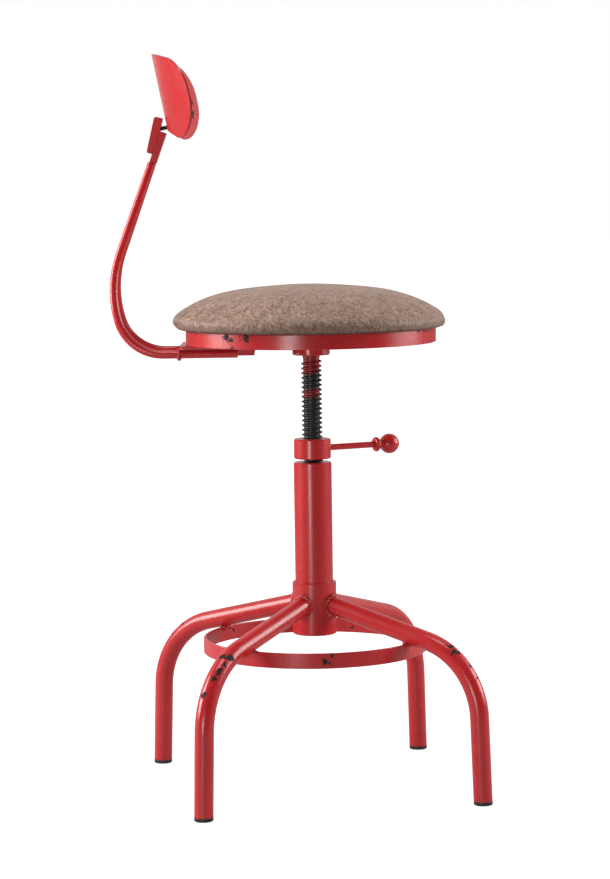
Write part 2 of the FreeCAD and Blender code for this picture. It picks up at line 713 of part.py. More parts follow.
def tap(body, low, high):
    """Cuts the screw's thread into a bored body between two levels, in step with the screw itself."""
    turns_up = s.keep(f"{body.Name}_turns", whole_number((low - s.thread_level) / s.pitch) - LEAD_TURNS)
    start = s.keep(f"{body.Name}_start", s.thread_level + turns_up * s.pitch)
    sketch = new_sketch(body, "XZ_Plane")
    tooth(sketch, start, s.thread_clearance)
    helix(body, "SubtractiveHelix", sketch, high - start + s.pitch)


def make_column_nut():
    """The threaded insert in the top of the column, with a flange the size of the tube."""
    flange, inside, cut = s.column_diameter / 2, s.column_bore - s.weld_gap, s.chamfer
    bore = s.core_radius + s.thread_clearance
    body = turned("column_nut", (
        (bore, s.nut_bottom), (inside - cut, s.nut_bottom), (inside, s.nut_bottom + cut),
        (inside, s.column_top), (flange, s.column_top), (flange, s.nut_top - cut),
        (flange - cut, s.nut_top), (bore, s.nut_top),
    ))
    tap(body, s.nut_bottom, s.nut_top)
    return body


def make_guide():
    """The bush that keeps the screw's lower end in the middle of the column."""
    outside, cut = s.column_bore - s.slide_clearance, s.chamfer
    bore = s.spigot_diameter / 2 + s.slide_clearance
    low, high = s.guide_level, s.guide_top
    return turned("guide_bush", (
        (bore, low), (outside - cut, low), (outside, low + cut), (outside, high - cut),
        (outside - cut, high), (bore, high),
    ))


def make_screw():
    """The adjusting screw, from the spigot in the guide bush up to the stub in the boss."""
    spigot, core, stub = s.spigot_diameter / 2, s.core_radius, s.stub_diameter / 2
    shoulder, bolt = s.shoulder_diameter / 2, s.stop_bolt_diameter / 2 + s.weld_gap
    low, shelf = s.screw_bottom, s.guide_top + s.end_play
    body = turned("screw", (
        (0, low + s.stop_bolt_depth), (bolt, low + s.stop_bolt_depth), (bolt, low), (spigot, low),
        (spigot, shelf), (core, shelf), (core, s.shoulder_level), (shoulder, s.shoulder_level),
        (shoulder, s.boss_level), (stub, s.boss_level), (stub, s.apron_level), (0, s.apron_level),
    ))
    sketch = new_sketch(body, "XZ_Plane")
    tooth(sketch, s.thread_level, measure(0))
    helix(body, "AdditiveHelix", sketch, s.shoulder_level - s.thread_level - s.tooth_root)
    return body


def make_stop_washer():
    high, low = s.screw_bottom, s.screw_bottom - s.stop_washer_thickness
    bore, outside = s.stop_bolt_diameter / 2 + s.slide_clearance, s.stop_washer_diameter / 2
    return turned("stop_washer", ((bore, low), (outside, low), (outside, high), (bore, high)))


def make_stop_bolt():
    body = new_body("stop_bolt")
    under = s.screw_bottom - s.stop_washer_thickness
    head = new_sketch(body, "XY_Plane", under - s.stop_bolt_head_height)
    hexagon(head, s.stop_bolt_head)
    pad(body, head, s.stop_bolt_head_height)
    start = under - s.stop_bolt_head_height / 2
    shank = new_sketch(body, "XY_Plane", start)
    circle(shank, s.stop_bolt_diameter / 2)
    pad(body, shank, s.screw_bottom + s.stop_bolt_depth - s.weld_gap - start)
    return body


def make_washer():
    low, high = s.collar_level, s.collar_level + s.washer_thickness
    inside, outside = s.washer_bore / 2, s.washer_diameter / 2
    return turned("friction_washer", ((inside, low), (outside, low), (outside, high), (inside, high)))


def lever_bar(name, radius, start, reach):
    """A round bar along the lever's axis."""
    body = new_body(name)
    sketch = new_sketch(body, "YZ_Plane", start)
    circle(sketch, radius)
    pad(body, sketch, reach - start)
    return place(body, z=s.lever_level, angle=s.lever_azimuth)


def make_collar():
    """The lock collar: a threaded ring with a groove for the washer below and a seat for the lever."""
    low, high, cut, gap = s.collar_level, s.collar_level + s.collar_height, s.chamfer, s.slide_clearance
    outside, bore = s.collar_diameter / 2, s.core_radius + s.thread_clearance
    groove_in, groove_out = s.washer_bore / 2 - gap, s.washer_diameter / 2 + gap
    groove_top = low + s.washer_thickness + gap
    blank = turned("collar_blank", (
        (bore, low), (groove_in, low), (groove_in, groove_top), (groove_out, groove_top), (groove_out, low),
        (outside - cut, low), (outside, low + cut), (outside, high - cut), (outside - cut, high), (bore, high),
    ))
    tap(blank, low, high)
    seat = lever_bar("lever_seat", s.lever_diameter / 2 + s.weld_gap, outside - s.lever_depth, s.collar_diameter)
    return take_away("lock_collar", blank, seat)


def make_lever():
    start = s.collar_diameter / 2 - s.lever_depth + s.weld_gap
    return lever_bar("lever_rod", s.lever_diameter / 2, start, s.ball_distance - s.ball_radius / 2)


def make_knob():
    """The bead, neck and ball on the lever's end, turned in one piece."""
    bore, neck, ball = s.lever_diameter / 2 + s.weld_gap, s.neck_diameter / 2, s.ball_radius
    bead, edge, middle = s.bead_diameter / 2, s.bead_width / 2, s.bead_distance
    hole_end = s.ball_distance - ball / 2 + s.weld_gap
    ball_start = s.ball_distance - square_root(ball * ball - neck * neck)
    knob = turned("ball_knob", (
        (hole_end, 0), (hole_end, bore), (middle - edge, bore), (middle - edge, bead - edge),
        (middle, bead, "right", edge), (middle + edge, bead - edge, "right", edge),
        (middle + edge, neck), (ball_start, neck),
        (s.ball_distance, ball, "right", ball), (s.ball_distance + ball, 0, "right", ball),
    ), "XZ_Plane", "H_Axis")
    return place(knob, z=s.lever_level, angle=s.lever_azimuth)


def make_boss():
    """The disc welded to the screw's stub under the underframe bars."""
    outside, bore, cut = s.boss_diameter / 2, s.stub_diameter / 2 + s.weld_gap, s.chamfer
    return turned("screw_boss", (
        (bore, s.boss_level), (outside - cut, s.boss_level), (outside, s.boss_level + cut),
        (outside, s.apron_level), (bore, s.apron_level),
    ))


def make_apron():
    return rolled_bar("apron_ring", s.apron_diameter / 2, s.apron_thickness, s.apron_level, s.apron_top)


def reach_of(half_width):
    """The distance from the axis at which a bar's corner meets the apron ring's inside."""
    inside = s.apron_inside - s.weld_gap
    return square_root(inside * inside - half_width * half_width)


def mount_holes(body):
    """The holes of the two mounting bolts."""
    holes = new_sketch(body, "XY_Plane")
    for y in (s.mount_bolt_front, s.mount_bolt_rear):
        circle(holes, s.mount_bolt_diameter / 2 + s.slide_clearance, 0, y)
    cut_through(body, holes)


def make_long_bar():
    """The underframe bar from front to rear."""
    body = new_body("underframe_bar_long")
    half, inside = s.bar_width / 2, s.apron_inside - s.weld_gap
    reach = reach_of(half)
    sketch = new_sketch(body, "XY_Plane", s.apron_level)
    trace(sketch, ((-half, -reach), (half, -reach, "left", inside), (half, reach), (-half, reach, "left", inside)))
    pad(body, sketch, s.bar_thickness)
    mount_holes(body)
    return body


def make_side_bar(name, direction):
    """A short underframe bar from the long bar to the apron ring."""
    body = new_body(name)
    half, inside = s.bar_width / 2, s.apron_inside - s.weld_gap
    start, reach = half + s.weld_gap, reach_of(half)
    sketch = new_sketch(body, "XY_Plane", s.apron_level)
    trace(sketch, ((start, -half), (reach, -half), (reach, half, "left", inside), (start, half)))
    pad(body, sketch, s.bar_thickness)
    return place(body, angle=direction)


def make_tabs():
    """Four tabs inside the apron ring's upper edge, each with a hole for a wood screw."""
    body = new_body("ring_tabs")
    half, inside = s.tab_width / 2, s.apron_inside - s.weld_gap
    start, reach = s.apron_inside - s.tab_length, reach_of(half)
    sketch = new_sketch(body, "XY_Plane", s.apron_top - s.tab_thickness)
    trace(sketch, ((start, -half), (reach, -half), (reach, half, "left", inside), (start, half)))
    circle(sketch, s.board_screw_diameter / 2 + s.slide_clearance, s.board_screw_radius)
    repeat_round(body, [pad(body, sketch, s.tab_thickness - s.weld_gap)], len(LEGS))
    return place(body, angle=RIGHT_ANGLE / 2)


def screw_holes(body, low, high):
    """The holes of the four wood screws between two levels."""
    sketch = new_sketch(body, "XY_Plane", low)
    circle(sketch, s.board_screw_diameter / 2 + s.weld_gap, s.board_screw_radius)
    doc.recompute()
    hole = add_feature(body, "Pocket", sketch)
    bind(hole, "Length", high - low)
    hole.Reversed = True
    repeat_round(body, [hole], len(LEGS))


def make_board():
    body = new_body("seat_board")
    sketch = new_sketch(body, "XY_Plane", s.board_level)
    circle(sketch, s.board_radius)
    pad(body, sketch, s.board_thickness)
    screw_holes(body, s.board_level, s.board_screw_tip + s.weld_gap)
    return place(body, angle=RIGHT_ANGLE / 2)


def make_board_screws():
    """Four wood screws, up through the tabs and the hem into the seat board."""
    body = new_body("board_screws")
    head = new_sketch(body, "XY_Plane", s.board_screw_under - s.board_screw_head_height)
    circle(head, s.board_screw_head / 2, s.board_screw_radius)
    head_pad = pad(body, head, s.board_screw_head_height)
    start = s.board_screw_under - s.board_screw_head_height / 2
    shank = new_sketch(body, "XY_Plane", start)
    circle(shank, s.board_screw_diameter / 2, s.board_screw_radius)
    shank_pad = pad(body, shank, s.board_screw_tip - start)
    repeat_round(body, [head_pad, shank_pad], len(LEGS))
    return place(body, angle=RIGHT_ANGLE / 2)


def cushion_skin(inset):
    """The cushion's outline from its crown down to its lower edge, inset by a thickness.

    The crown, the shoulder and the nose are three arcs that meet smoothly.
    """
    crown, shoulder, nose = (radius - inset for radius in (s.cushion_crown, s.cushion_shoulder, s.cushion_nose))
    dome_share, nose_share = crown / s.dome_reach, nose / s.nose_reach
    crown_end = s.dome_level + (s.shoulder_centre_level - s.dome_level) * dome_share
    shoulder_end = s.nose_level + (s.nose_level - s.shoulder_centre_level) * nose_share
    return (
        (0, s.cushion_top - inset),
        (s.shoulder_centre * dome_share, crown_end, "right", crown),
        (s.nose_centre + (s.nose_centre - s.shoulder_centre) * nose_share, shoulder_end, "right", shoulder),
        (s.nose_centre, s.nose_level - nose, "right", nose),
    )


def make_foam():
    """The foam between the cover and the seat board."""
    board_top = s.board_level + s.board_thickness
    return turned("seat_foam", cushion_skin(s.cover_thickness) + (
        (s.board_radius, s.board_level), (s.board_radius, board_top), (0, board_top)))


def make_cover():
    """The seat cover: one skin over the foam, with a hem turned in under the board."""
    inner = cushion_skin(s.cover_thickness)
    hem = s.nose_centre - s.hem_width
    back = [(hem, s.apron_top), (hem, s.board_level), (inner[3][0], inner[3][1])]
    for corner, following in zip(inner[2::-1], inner[:0:-1]):
        back.append((corner[0], corner[1], "left", following[3]))
    body = turned("seat_cover", cushion_skin(measure(0)) + tuple(back))
    screw_holes(body, s.apron_top, s.board_level)
    return place(body, angle=RIGHT_ANGLE / 2)


def make_mount_plate():
    body = new_body("back_mount_plate")
    sketch = new_sketch(body, "XY_Plane", s.plate_level)
    trace(sketch, across_axis(s.plate_width, s.plate_front, s.plate_rear))
    pad(body, sketch, s.plate_thickness - s.weld_gap)
    soften(body, s.plate_rounding, lambda edge: is_straight_along(edge, UP))
    mount_holes(body)
    return body


def make_stop_bar():
    """The bar under the mounting plate against which the rods end."""
    body = new_body("rod_stop_bar")
    sketch = new_sketch(body, "XY_Plane", s.plate_level - s.stop_bar_height)
    trace(sketch, across_axis(s.plate_width, s.plate_front, s.rod_front - s.weld_gap))
    pad(body, sketch, s.stop_bar_height - s.weld_gap)
    return body


def make_rod(name, side):
    """A back rod: level under the seat, then bent up and leaning forward, in a plane that tilts inwards."""
    body = new_body(name)
    section = new_sketch(body, "XZ_Plane", -s.rod_front)
    circle(section, s.rod_diameter / 2)
    path = new_sketch(body, "YZ_Plane")
    trace(path, (
        (s.rod_front, 0), (s.rod_run, 0), (s.bend_end_y, s.bend_end_rise, "left", s.rod_bend),
        (s.sweep_end_y, s.sweep_end_rise, "left", s.rod_sweep), (s.rod_end_y, s.rod_end_rise),
    ), closed=False)
    follow(body, section, path)
    return place(body, side * s.rod_spacing / 2, 0, s.rod_level, Vector(0, -side, 0), s.rod_tilt)


def make_rod_welds():
    """A bead round each rod at the mounting plate's rear edge."""
    beads = []
    for side, name in ((-1, "right"), (1, "left")):
        x, z = side * s.rod_spacing / 2, s.rod_level
        bead = primitive("Torus", f"rod_bead_{name}", Radius1=s.rod_diameter / 2, Radius2=s.weld_bead)
        place(bead, x, s.plate_rear + s.weld_bead / 2, z, ALONG_X, RIGHT_ANGLE)
        rod = primitive(
            "Cylinder", f"rod_bead_rod_{name}", Radius=s.rod_diameter / 2 + s.weld_gap, Height=s.plate_rear)
        place(rod, x, s.rod_run, z, ALONG_X, RIGHT_ANGLE)
        plate = primitive(
            "Box", f"rod_bead_plate_{name}", Length=s.plate_width, Width=s.plate_rear + s.weld_gap,
            Height=s.apron_level)
        place(plate, -s.plate_width / 2, 0, 0)
        beads.append(take_away(f"rod_weld_{name}", bead, rod, plate))
    return group("rod_welds", beads)


def make_mount_bolts():
    body = new_body("mount_bolts")
    stack = s.plate_thickness + s.bar_thickness + s.mount_nut_height
    for y in (s.mount_bolt_front, s.mount_bolt_rear):
        head = new_sketch(body, "XY_Plane", s.plate_level - s.mount_bolt_head_height)
        hexagon(head, s.mount_bolt_head, 0, y)
        pad(body, head, s.mount_bolt_head_height)
        shank = new_sketch(body, "XY_Plane", s.plate_level - s.mount_bolt_head_height / 2)
        circle(shank, s.mount_bolt_diameter / 2, 0, y)
        pad(body, shank, stack + s.mount_bolt_head_height / 2 + s.chamfer)
    return body


def make_mount_nuts():
    body = new_body("mount_nuts")
    for y in (s.mount_bolt_front, s.mount_bolt_rear):
        sketch = new_sketch(body, "XY_Plane", s.apron_level + s.bar_thickness)
        hexagon(sketch, s.mount_bolt_head, 0, y)
        circle(sketch, s.mount_bolt_diameter / 2 + s.weld_gap, 0, y)
        pad(body, sketch, s.mount_nut_height)
    return body


def make_strap():
    """A flat bar that carries on from the rods' upper ends to the pan's lower edge."""
    body = new_body("back_strap")
    sketch = new_sketch(body, "XY_Plane", s.strap_start)
    trace(sketch, across_axis(s.strap_width, -s.rod_diameter / 2, s.strap_rear))
    pad(body, sketch, s.strap_length - s.strap_start)
    soften(body, s.edge_break, lambda edge: is_straight_along(edge, UP))
    return place(body, 0, s.rod_end_y, s.strap_level, ALONG_X, s.strap_lean)


def make_block_blank():
    body = new_body("block_blank")
    sketch = new_sketch(body, "XY_Plane")
    trace(sketch, across_axis(s.strap_width, 0, s.block_thickness))
    pad(body, sketch, s.block_height)
    middle = s.block_thickness.value / 2
    soften(body, s.block_rounding, lambda edge: is_straight_along(edge, ALONG_X) and edge.CenterOfMass.y > middle)
    return place(body, 0, s.block_y, s.block_level, ALONG_X, s.block_lean)


def make_block(blank):
    """The block behind the strap, cut to lie against it, with the threaded holes of the pan's screws."""
    strap = new_body("block_strap_tool")
    sketch = new_sketch(strap, "XY_Plane", -s.strap_length)
    trace(sketch, across_axis(2 * s.strap_width, -s.rod_diameter - s.strap_width, s.strap_rear + s.weld_gap))
    pad(strap, sketch, 2 * s.strap_length)
    place(strap, 0, s.rod_end_y, s.strap_level, ALONG_X, s.strap_lean)
    holes = pan_screw_rods("block_hole", s.pan_screw_diameter / 2 + s.weld_gap, 0, s.pan_screw_length)
    return take_away("back_block", blank, strap, holes)


def place_in_pan(item, height, depth):
    """Places an item in the pan's own frame: height up along the pan and depth out of its back."""
    y = s.pan_setback + height * sine(s.pan_lean) + depth * cosine(s.pan_lean)
    z = s.pan_level + height * cosine(s.pan_lean) - depth * sine(s.pan_lean)
    return place(item, 0, y, z, ALONG_X, -s.pan_lean)


def pan_screw_circles(sketch, radius):
    """A circle for each of the pan's two screws."""
    for x in (-s.pan_screw_spacing / 2, s.pan_screw_spacing / 2):
        circle(sketch, radius, x, s.pan_screw_level)


def pan_screw_rods(name, radius, start, length, bore=None):
    """Two round bars along the pan's screws, from start to start + length behind the pan's back."""
    body = new_body(name)
    sketch = new_sketch(body, "XZ_Plane", -measure(start))
    pan_screw_circles(sketch, radius)
    if bore is not None:
        pan_screw_circles(sketch, bore)
    feature = pad(body, sketch, length)
    feature.Reversed = True
    return place_in_pan(body, measure(0), measure(0))


def make_pan():
    """The back pan: a sheet curved round the sitter, cut to a kidney-shaped outline."""
    body = new_body("back_pan")
    outer, inner, reach = s.pan_curve, s.pan_curve - s.pan_thickness, s.pan_half + s.pan_thickness
    outer_end = square_root(outer * outer - reach * reach) - outer
    inner_end = square_root(inner * inner - reach * reach) - outer
    sheet = new_sketch(body, "XY_Plane")
    trace(sheet, (
        (-reach, inner_end, "left", inner), (-reach, outer_end), (reach, outer_end, "right", outer),
        (reach, inner_end),
    ))
    pad(body, sheet, 2 * s.pan_height + s.pan_corner_radius, midplane=True)
    frame = new_sketch(body, "XZ_Plane")
    side, limit = s.pan_width, 2 * s.pan_height
    trace(frame, ((-side, -limit), (side, -limit), (side, limit), (-side, limit)))
    top, corner, lobe, under = s.pan_top_radius, s.pan_corner_radius, s.pan_lobe_radius, s.pan_bottom_radius
    trace(frame, (
        (-s.pan_low_x, s.pan_low_level, "left", lobe), (s.pan_low_x, s.pan_low_level, "right", under),
        (s.pan_half, s.pan_lobe_level, "left", lobe), (s.pan_half, s.pan_corner_level),
        (s.pan_top_x, s.pan_top_level, "left", corner), (-s.pan_top_x, s.pan_top_level, "left", top),
        (-s.pan_half, s.pan_corner_level, "left", corner), (-s.pan_half, s.pan_lobe_level),
    ))
    cut_through(body, frame)
    holes = new_sketch(body, "XZ_Plane")
    pan_screw_circles(holes, s.pan_screw_diameter / 2 + s.pan_screw_clearance)
    cut_through(body, holes)
    return place_in_pan(body, measure(0), measure(0))


def make_pan_screws():
    """Two screws with round heads on the pan's front."""
    body = new_body("pan_screws")
    # The curve of the pan lifts the heads a little
    inner, reach = s.pan_curve - s.pan_thickness, (s.pan_screw_spacing + s.pan_screw_head) / 2
    front = s.pan_thickness + s.weld_gap + inner - square_root(inner * inner - reach * reach)
    shanks = new_sketch(body, "XZ_Plane", front)
    pan_screw_circles(shanks, s.pan_screw_diameter / 2)
    pad(body, shanks, s.pan_screw_length).Reversed = True
    heads = new_sketch(body, "XZ_Plane", front)
    pan_screw_circles(heads, s.pan_screw_head / 2)
    pad(body, heads, s.pan_screw_head_height)
    return place_in_pan(body, measure(0), measure(0))


def make_spacers(blank):
    """Two spacers on the pan's screws, cut to the block's front face."""
    radius, bore = s.spacer_diameter / 2, s.pan_screw_diameter / 2 + s.pan_screw_clearance
    tubes = pan_screw_rods("spacer_tubes", radius, s.weld_gap, s.spacer_length, bore)
    return take_away("pan_spacers", tubes, blank)


def make_everything():
    """Builds every sub-part and returns them."""
    derive_base()
    derive_seat()
    derive_back()
    derive_pan()
    nodes = [make_leg(index, name) for index, name in enumerate(LEGS)]
    nodes += [make_cap(index, name) for index, name in enumerate(LEGS)]
    leg_tool = bent_bar("leg_tool", s.leg_diameter / 2 + s.weld_gap)
    nodes += [make_leg_welds(leg_tool), make_foot_ring(), make_ring_welds(leg_tool)]
    nodes += [make_hub(), make_column(), make_column_nut()]
    nodes += [make_guide(), make_screw(), make_stop_washer(), make_stop_bolt()]
    nodes += [make_washer(), make_collar(), make_lever(), make_knob()]
    nodes += [make_boss(), make_apron(), make_long_bar()]
    nodes += [make_side_bar("underframe_bar_left", 0), make_side_bar("underframe_bar_right", 2 * RIGHT_ANGLE)]
    nodes += [make_tabs(), make_board(), make_board_screws(), make_foam(), make_cover()]
    nodes += [make_mount_plate(), make_stop_bar(), make_mount_bolts(), make_mount_nuts()]
    nodes += [make_rod("back_rod_left", 1), make_rod("back_rod_right", -1), make_rod_welds()]
    blank = make_block_blank()
    nodes += [make_strap(), make_block(blank), make_spacers(blank), make_pan(), make_pan_screws()]
    return nodes


def check_and_export(nodes):
    """Stops if anything is invalid, then writes one STEP file for each sub-part."""
    doc.recompute()
    for item in doc.Objects:
        if {"Invalid", "Error"} & set(item.State):
            raise RuntimeError(f"{item.Name} is not valid: {item.State}")
    for node in nodes:
        shape = node.Shape
        if shape.isNull() or not shape.isValid() or not shape.Solids:
            raise RuntimeError(f"{node.Name} has no valid solid")
    os.makedirs("parts", exist_ok=True)
    for node in nodes:
        node.Shape.exportStep(f"parts/{node.Label}.step")
        print(node.Label, len(node.Shape.Solids), round(node.Shape.Volume), node.Shape.BoundBox)


check_and_export(make_everything())
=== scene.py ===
import math
import random

import bmesh
import bpy
from mathutils import Matrix, Vector, noise


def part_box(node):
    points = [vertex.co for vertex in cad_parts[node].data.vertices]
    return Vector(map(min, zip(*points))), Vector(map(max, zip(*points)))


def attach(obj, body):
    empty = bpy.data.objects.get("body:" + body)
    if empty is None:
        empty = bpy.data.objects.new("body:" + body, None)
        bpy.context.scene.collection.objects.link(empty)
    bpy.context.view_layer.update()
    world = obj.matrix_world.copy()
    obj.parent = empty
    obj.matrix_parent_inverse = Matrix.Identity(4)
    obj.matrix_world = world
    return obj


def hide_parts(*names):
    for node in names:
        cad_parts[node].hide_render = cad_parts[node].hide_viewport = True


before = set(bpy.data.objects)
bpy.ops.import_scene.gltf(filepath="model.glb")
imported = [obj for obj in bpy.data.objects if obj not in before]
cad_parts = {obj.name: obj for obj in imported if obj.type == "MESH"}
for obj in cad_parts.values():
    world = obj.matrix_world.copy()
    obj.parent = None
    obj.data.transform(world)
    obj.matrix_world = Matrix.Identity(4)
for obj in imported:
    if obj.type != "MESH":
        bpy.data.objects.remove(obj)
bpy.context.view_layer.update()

random.seed(7)

MM = 0.001
FULL_TURN = 2 * math.pi
LEG_NAMES = ("rear_left", "rear_right", "front_right", "front_left")

# The base's measures that the frame doesn't state
FIRST_LEG_AZIMUTH = math.radians(55.65)
LEG_SLOPE = math.radians(13.7)
LEG_ROOT = 252.2 * MM
BEND_RADIUS = 102.5 * MM
BEND_CENTRE_REACH, BEND_CENTRE_LEVEL = 153.9 * MM, 109.2 * MM
# Distance of each back rod from the middle plane
ROD_X = 48.5 * MM

# Chips in the enamel, each as (x, y, z, radius) in millimetres
APRON_CHIPS = (
    (-125.4, 110.3, 613.0, 8.5), (-131.0, 103.8, 609.5, 6.5), (-144.2, 84.2, 613.4, 8.5),
    (-139.0, 92.0, 610.5, 4.0), (-131.7, 102.7, 600.5, 4.0), (-92.5, -139.1, 616.2, 4.5),
    (-78.2, -147.6, 615.5, 4.5), (-68.0, -152.5, 615.0, 4.5), (-58.6, -156.4, 614.3, 4.0),
    (150.0, 73.0, 604.0, 8.0), (60.0, 156.0, 614.0, 6.0), (110.0, -126.0, 612.0, 8.0),
    (20.0, -166.0, 600.0, 5.0))
RING_CHIPS = (
    (-149.5, -11.0, 193.0, 6.0), (-148.9, -17.0, 189.5, 5.0), (-148.6, -21.5, 199.5, 4.5),
    (-119.9, 90.1, 198.0, 6.0), (140.0, -55.0, 190.0, 6.0), (95.0, 115.0, 196.0, 7.0),
    (-20.0, -149.0, 200.0, 6.0))
PAN_CHIPS = (
    (122.0, 158.0, 905.0, 8.0), (128.0, 157.0, 922.0, 6.0), (110.0, 168.0, 930.0, 5.0),
    (60.0, 192.0, 975.0, 5.0))

# Lamps as (name, place, target, width and height, power in watts)
LAMPS = (
    ("left_box", (-0.05, 2.1, 1.15), (0, 0, 0.6), (1.1, 1.3), 54.0),
    ("right_box", (0.15, -2.1, 1.15), (0, 0, 0.6), (1.3, 1.3), 38.0),
    ("top_box", (-0.5, 0.2, 2.6), (0, 0, 0.5), (0.7, 0.7), 15.0),
    ("front_fill", (-2.8, 1.0, 0.3), (0, 0, 0.5), (0.5, 0.5), 16.0))


def width_of(node):
    low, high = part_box(node)
    return high[0] - low[0]


HUB_RADIUS = width_of("hub") / 2
LEG_RADIUS = width_of("foot_cap_rear_left") / 2
RING_RADIUS = width_of("foot_ring") / 2
RING_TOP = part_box("foot_ring")[1][2]
COVER_LOW, COVER_HIGH = (Vector(corner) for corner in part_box("seat_cover"))
SEAT_RADIUS = (COVER_HIGH.x - COVER_LOW.x) / 2
SEAT_BOTTOM, SEAT_TOP = COVER_LOW.z, COVER_HIGH.z
# Radius of the cushion's rolled edge, and the level where the cushion is widest
NOSE_RADIUS = 12.0 * MM
SEAT_NOSE = SEAT_BOTTOM + NOSE_RADIUS


class Finish:
    """A material and short ways to add nodes to it."""

    def __init__(self, name):
        self.material = bpy.data.materials.new(name)
        self.material.use_nodes = True
        self.nodes = self.material.node_tree.nodes
        self.links = self.material.node_tree.links
        self.shader = self.nodes["Principled BSDF"]
        self.place = self.nodes.new("ShaderNodeTexCoord").outputs["Object"]

    def add(self, kind, output=0, inputs=None, **settings):
        """Adds a node, sets it up and returns one of its outputs."""
        node = self.nodes.new(f"ShaderNode{kind}")
        for key, value in settings.items():
            setattr(node, key, value)
        for key, value in (inputs or {}).items():
            self.put(node.inputs[key], value)
        return node.outputs[output]

    def put(self, socket, value):
        """Links a socket to another one, or sets it to a value."""
        if isinstance(value, bpy.types.NodeSocket):
            self.links.new(value, socket)
        else:
            socket.default_value = value

    def set(self, **values):
        """Sets inputs of the main shader; an underscore in a name stands for a space."""
        for key, value in values.items():
            self.put(self.shader.inputs[key.replace("_", " ")], value)

    def math(self, operation, first, second=0.0, third=0.0):
        return self.add("Math", inputs={0: first, 1: second, 2: third}, operation=operation)

    def noise(self, scale, detail=4.0, roughness=0.55, distortion=0.0, place=None):
        return self.add("TexNoise", inputs={
            "Vector": place or self.place, "Scale": scale, "Detail": detail,
            "Roughness": roughness, "Distortion": distortion})

    def shift(self, size, scale, detail, roughness):
        """The place moved about at random by a noise whose values span the given size."""
        wander = self.add("TexNoise", output="Color", inputs={
            "Vector": self.place, "Scale": scale, "Detail": detail, "Roughness": roughness})
        return self.add("VectorMath", operation="MULTIPLY_ADD", inputs={
            0: wander, 1: (size, size, size), 2: self.place})

    def ramp(self, value, low, high, low_out=0.0, high_out=1.0):
        """Maps low to high onto low_out to high_out, and holds the ends."""
        return self.add("MapRange", inputs={
            "Value": value, "From Min": low, "From Max": high, "To Min": low_out, "To Max": high_out})

    def mix(self, share, first, second):
        """Blends two colours, given as three numbers or as sockets."""
        node = self.nodes.new("ShaderNodeMix")
        node.data_type = "RGBA"
        self.put(node.inputs["Factor"], share)
        for key, colour in (("A", first), ("B", second)):
            self.put(node.inputs[key], (*colour, 1.0) if isinstance(colour, tuple) else colour)
        return node.outputs["Result"]

    def axis(self, name):
        return self.add("SeparateXYZ", output=name, inputs={"Vector": self.place})

    def stretched(self, x, y, z):
        return self.add("Mapping", inputs={"Vector": self.place, "Scale": (x, y, z)})

    def bump(self, height, distance, strength=1.0, below=None):
        """A normal raised by the height, over the normal below where one is given."""
        inputs = {"Height": height, "Distance": distance, "Strength": strength}
        if below is not None:
            inputs["Normal"] = below
        return self.add("Bump", inputs=inputs)


def chip_mask(finish, chips, scatter):
    """Where the enamel is gone: ragged patches at the given chips, and a few scattered specks."""
    spread = 16.0 * MM
    ragged = finish.shift(spread, scale=190.0, detail=3.0, roughness=0.7)
    centred = finish.add("VectorMath", operation="SUBTRACT", inputs={
        0: ragged, 1: (spread / 2, spread / 2, spread / 2)})
    splatter = finish.noise(330.0, detail=3.0, roughness=0.6)
    specks = finish.math("MULTIPLY", finish.ramp(finish.noise(210.0, detail=3.0), 0.715, 0.73), scatter)
    mask = finish.math("MULTIPLY", specks, finish.ramp(finish.noise(14.0, detail=1.0), 0.52, 0.6))
    for x, y, z, radius in chips:
        away = finish.add("VectorMath", output="Value", operation="DISTANCE", inputs={
            0: centred, 1: (x * MM, y * MM, z * MM)})
        closeness = finish.ramp(away, 0.0, radius * MM, 1.0, 0.0)
        worn = finish.math("MULTIPLY_ADD", splatter, 0.9, closeness)
        mask = finish.math("MAXIMUM", mask, finish.ramp(worn, 0.80, 0.84))
    return mask


def edge_mask(finish, width):
    """One along the edges of the form, within about the given width."""
    rounded = finish.add("Bevel", inputs={"Radius": width}, samples=6)
    normal = finish.add("NewGeometry", output="Normal")
    turn = finish.add("VectorMath", output="Value", operation="DOT_PRODUCT", inputs={0: rounded, 1: normal})
    return finish.ramp(turn, 0.99, 0.90)


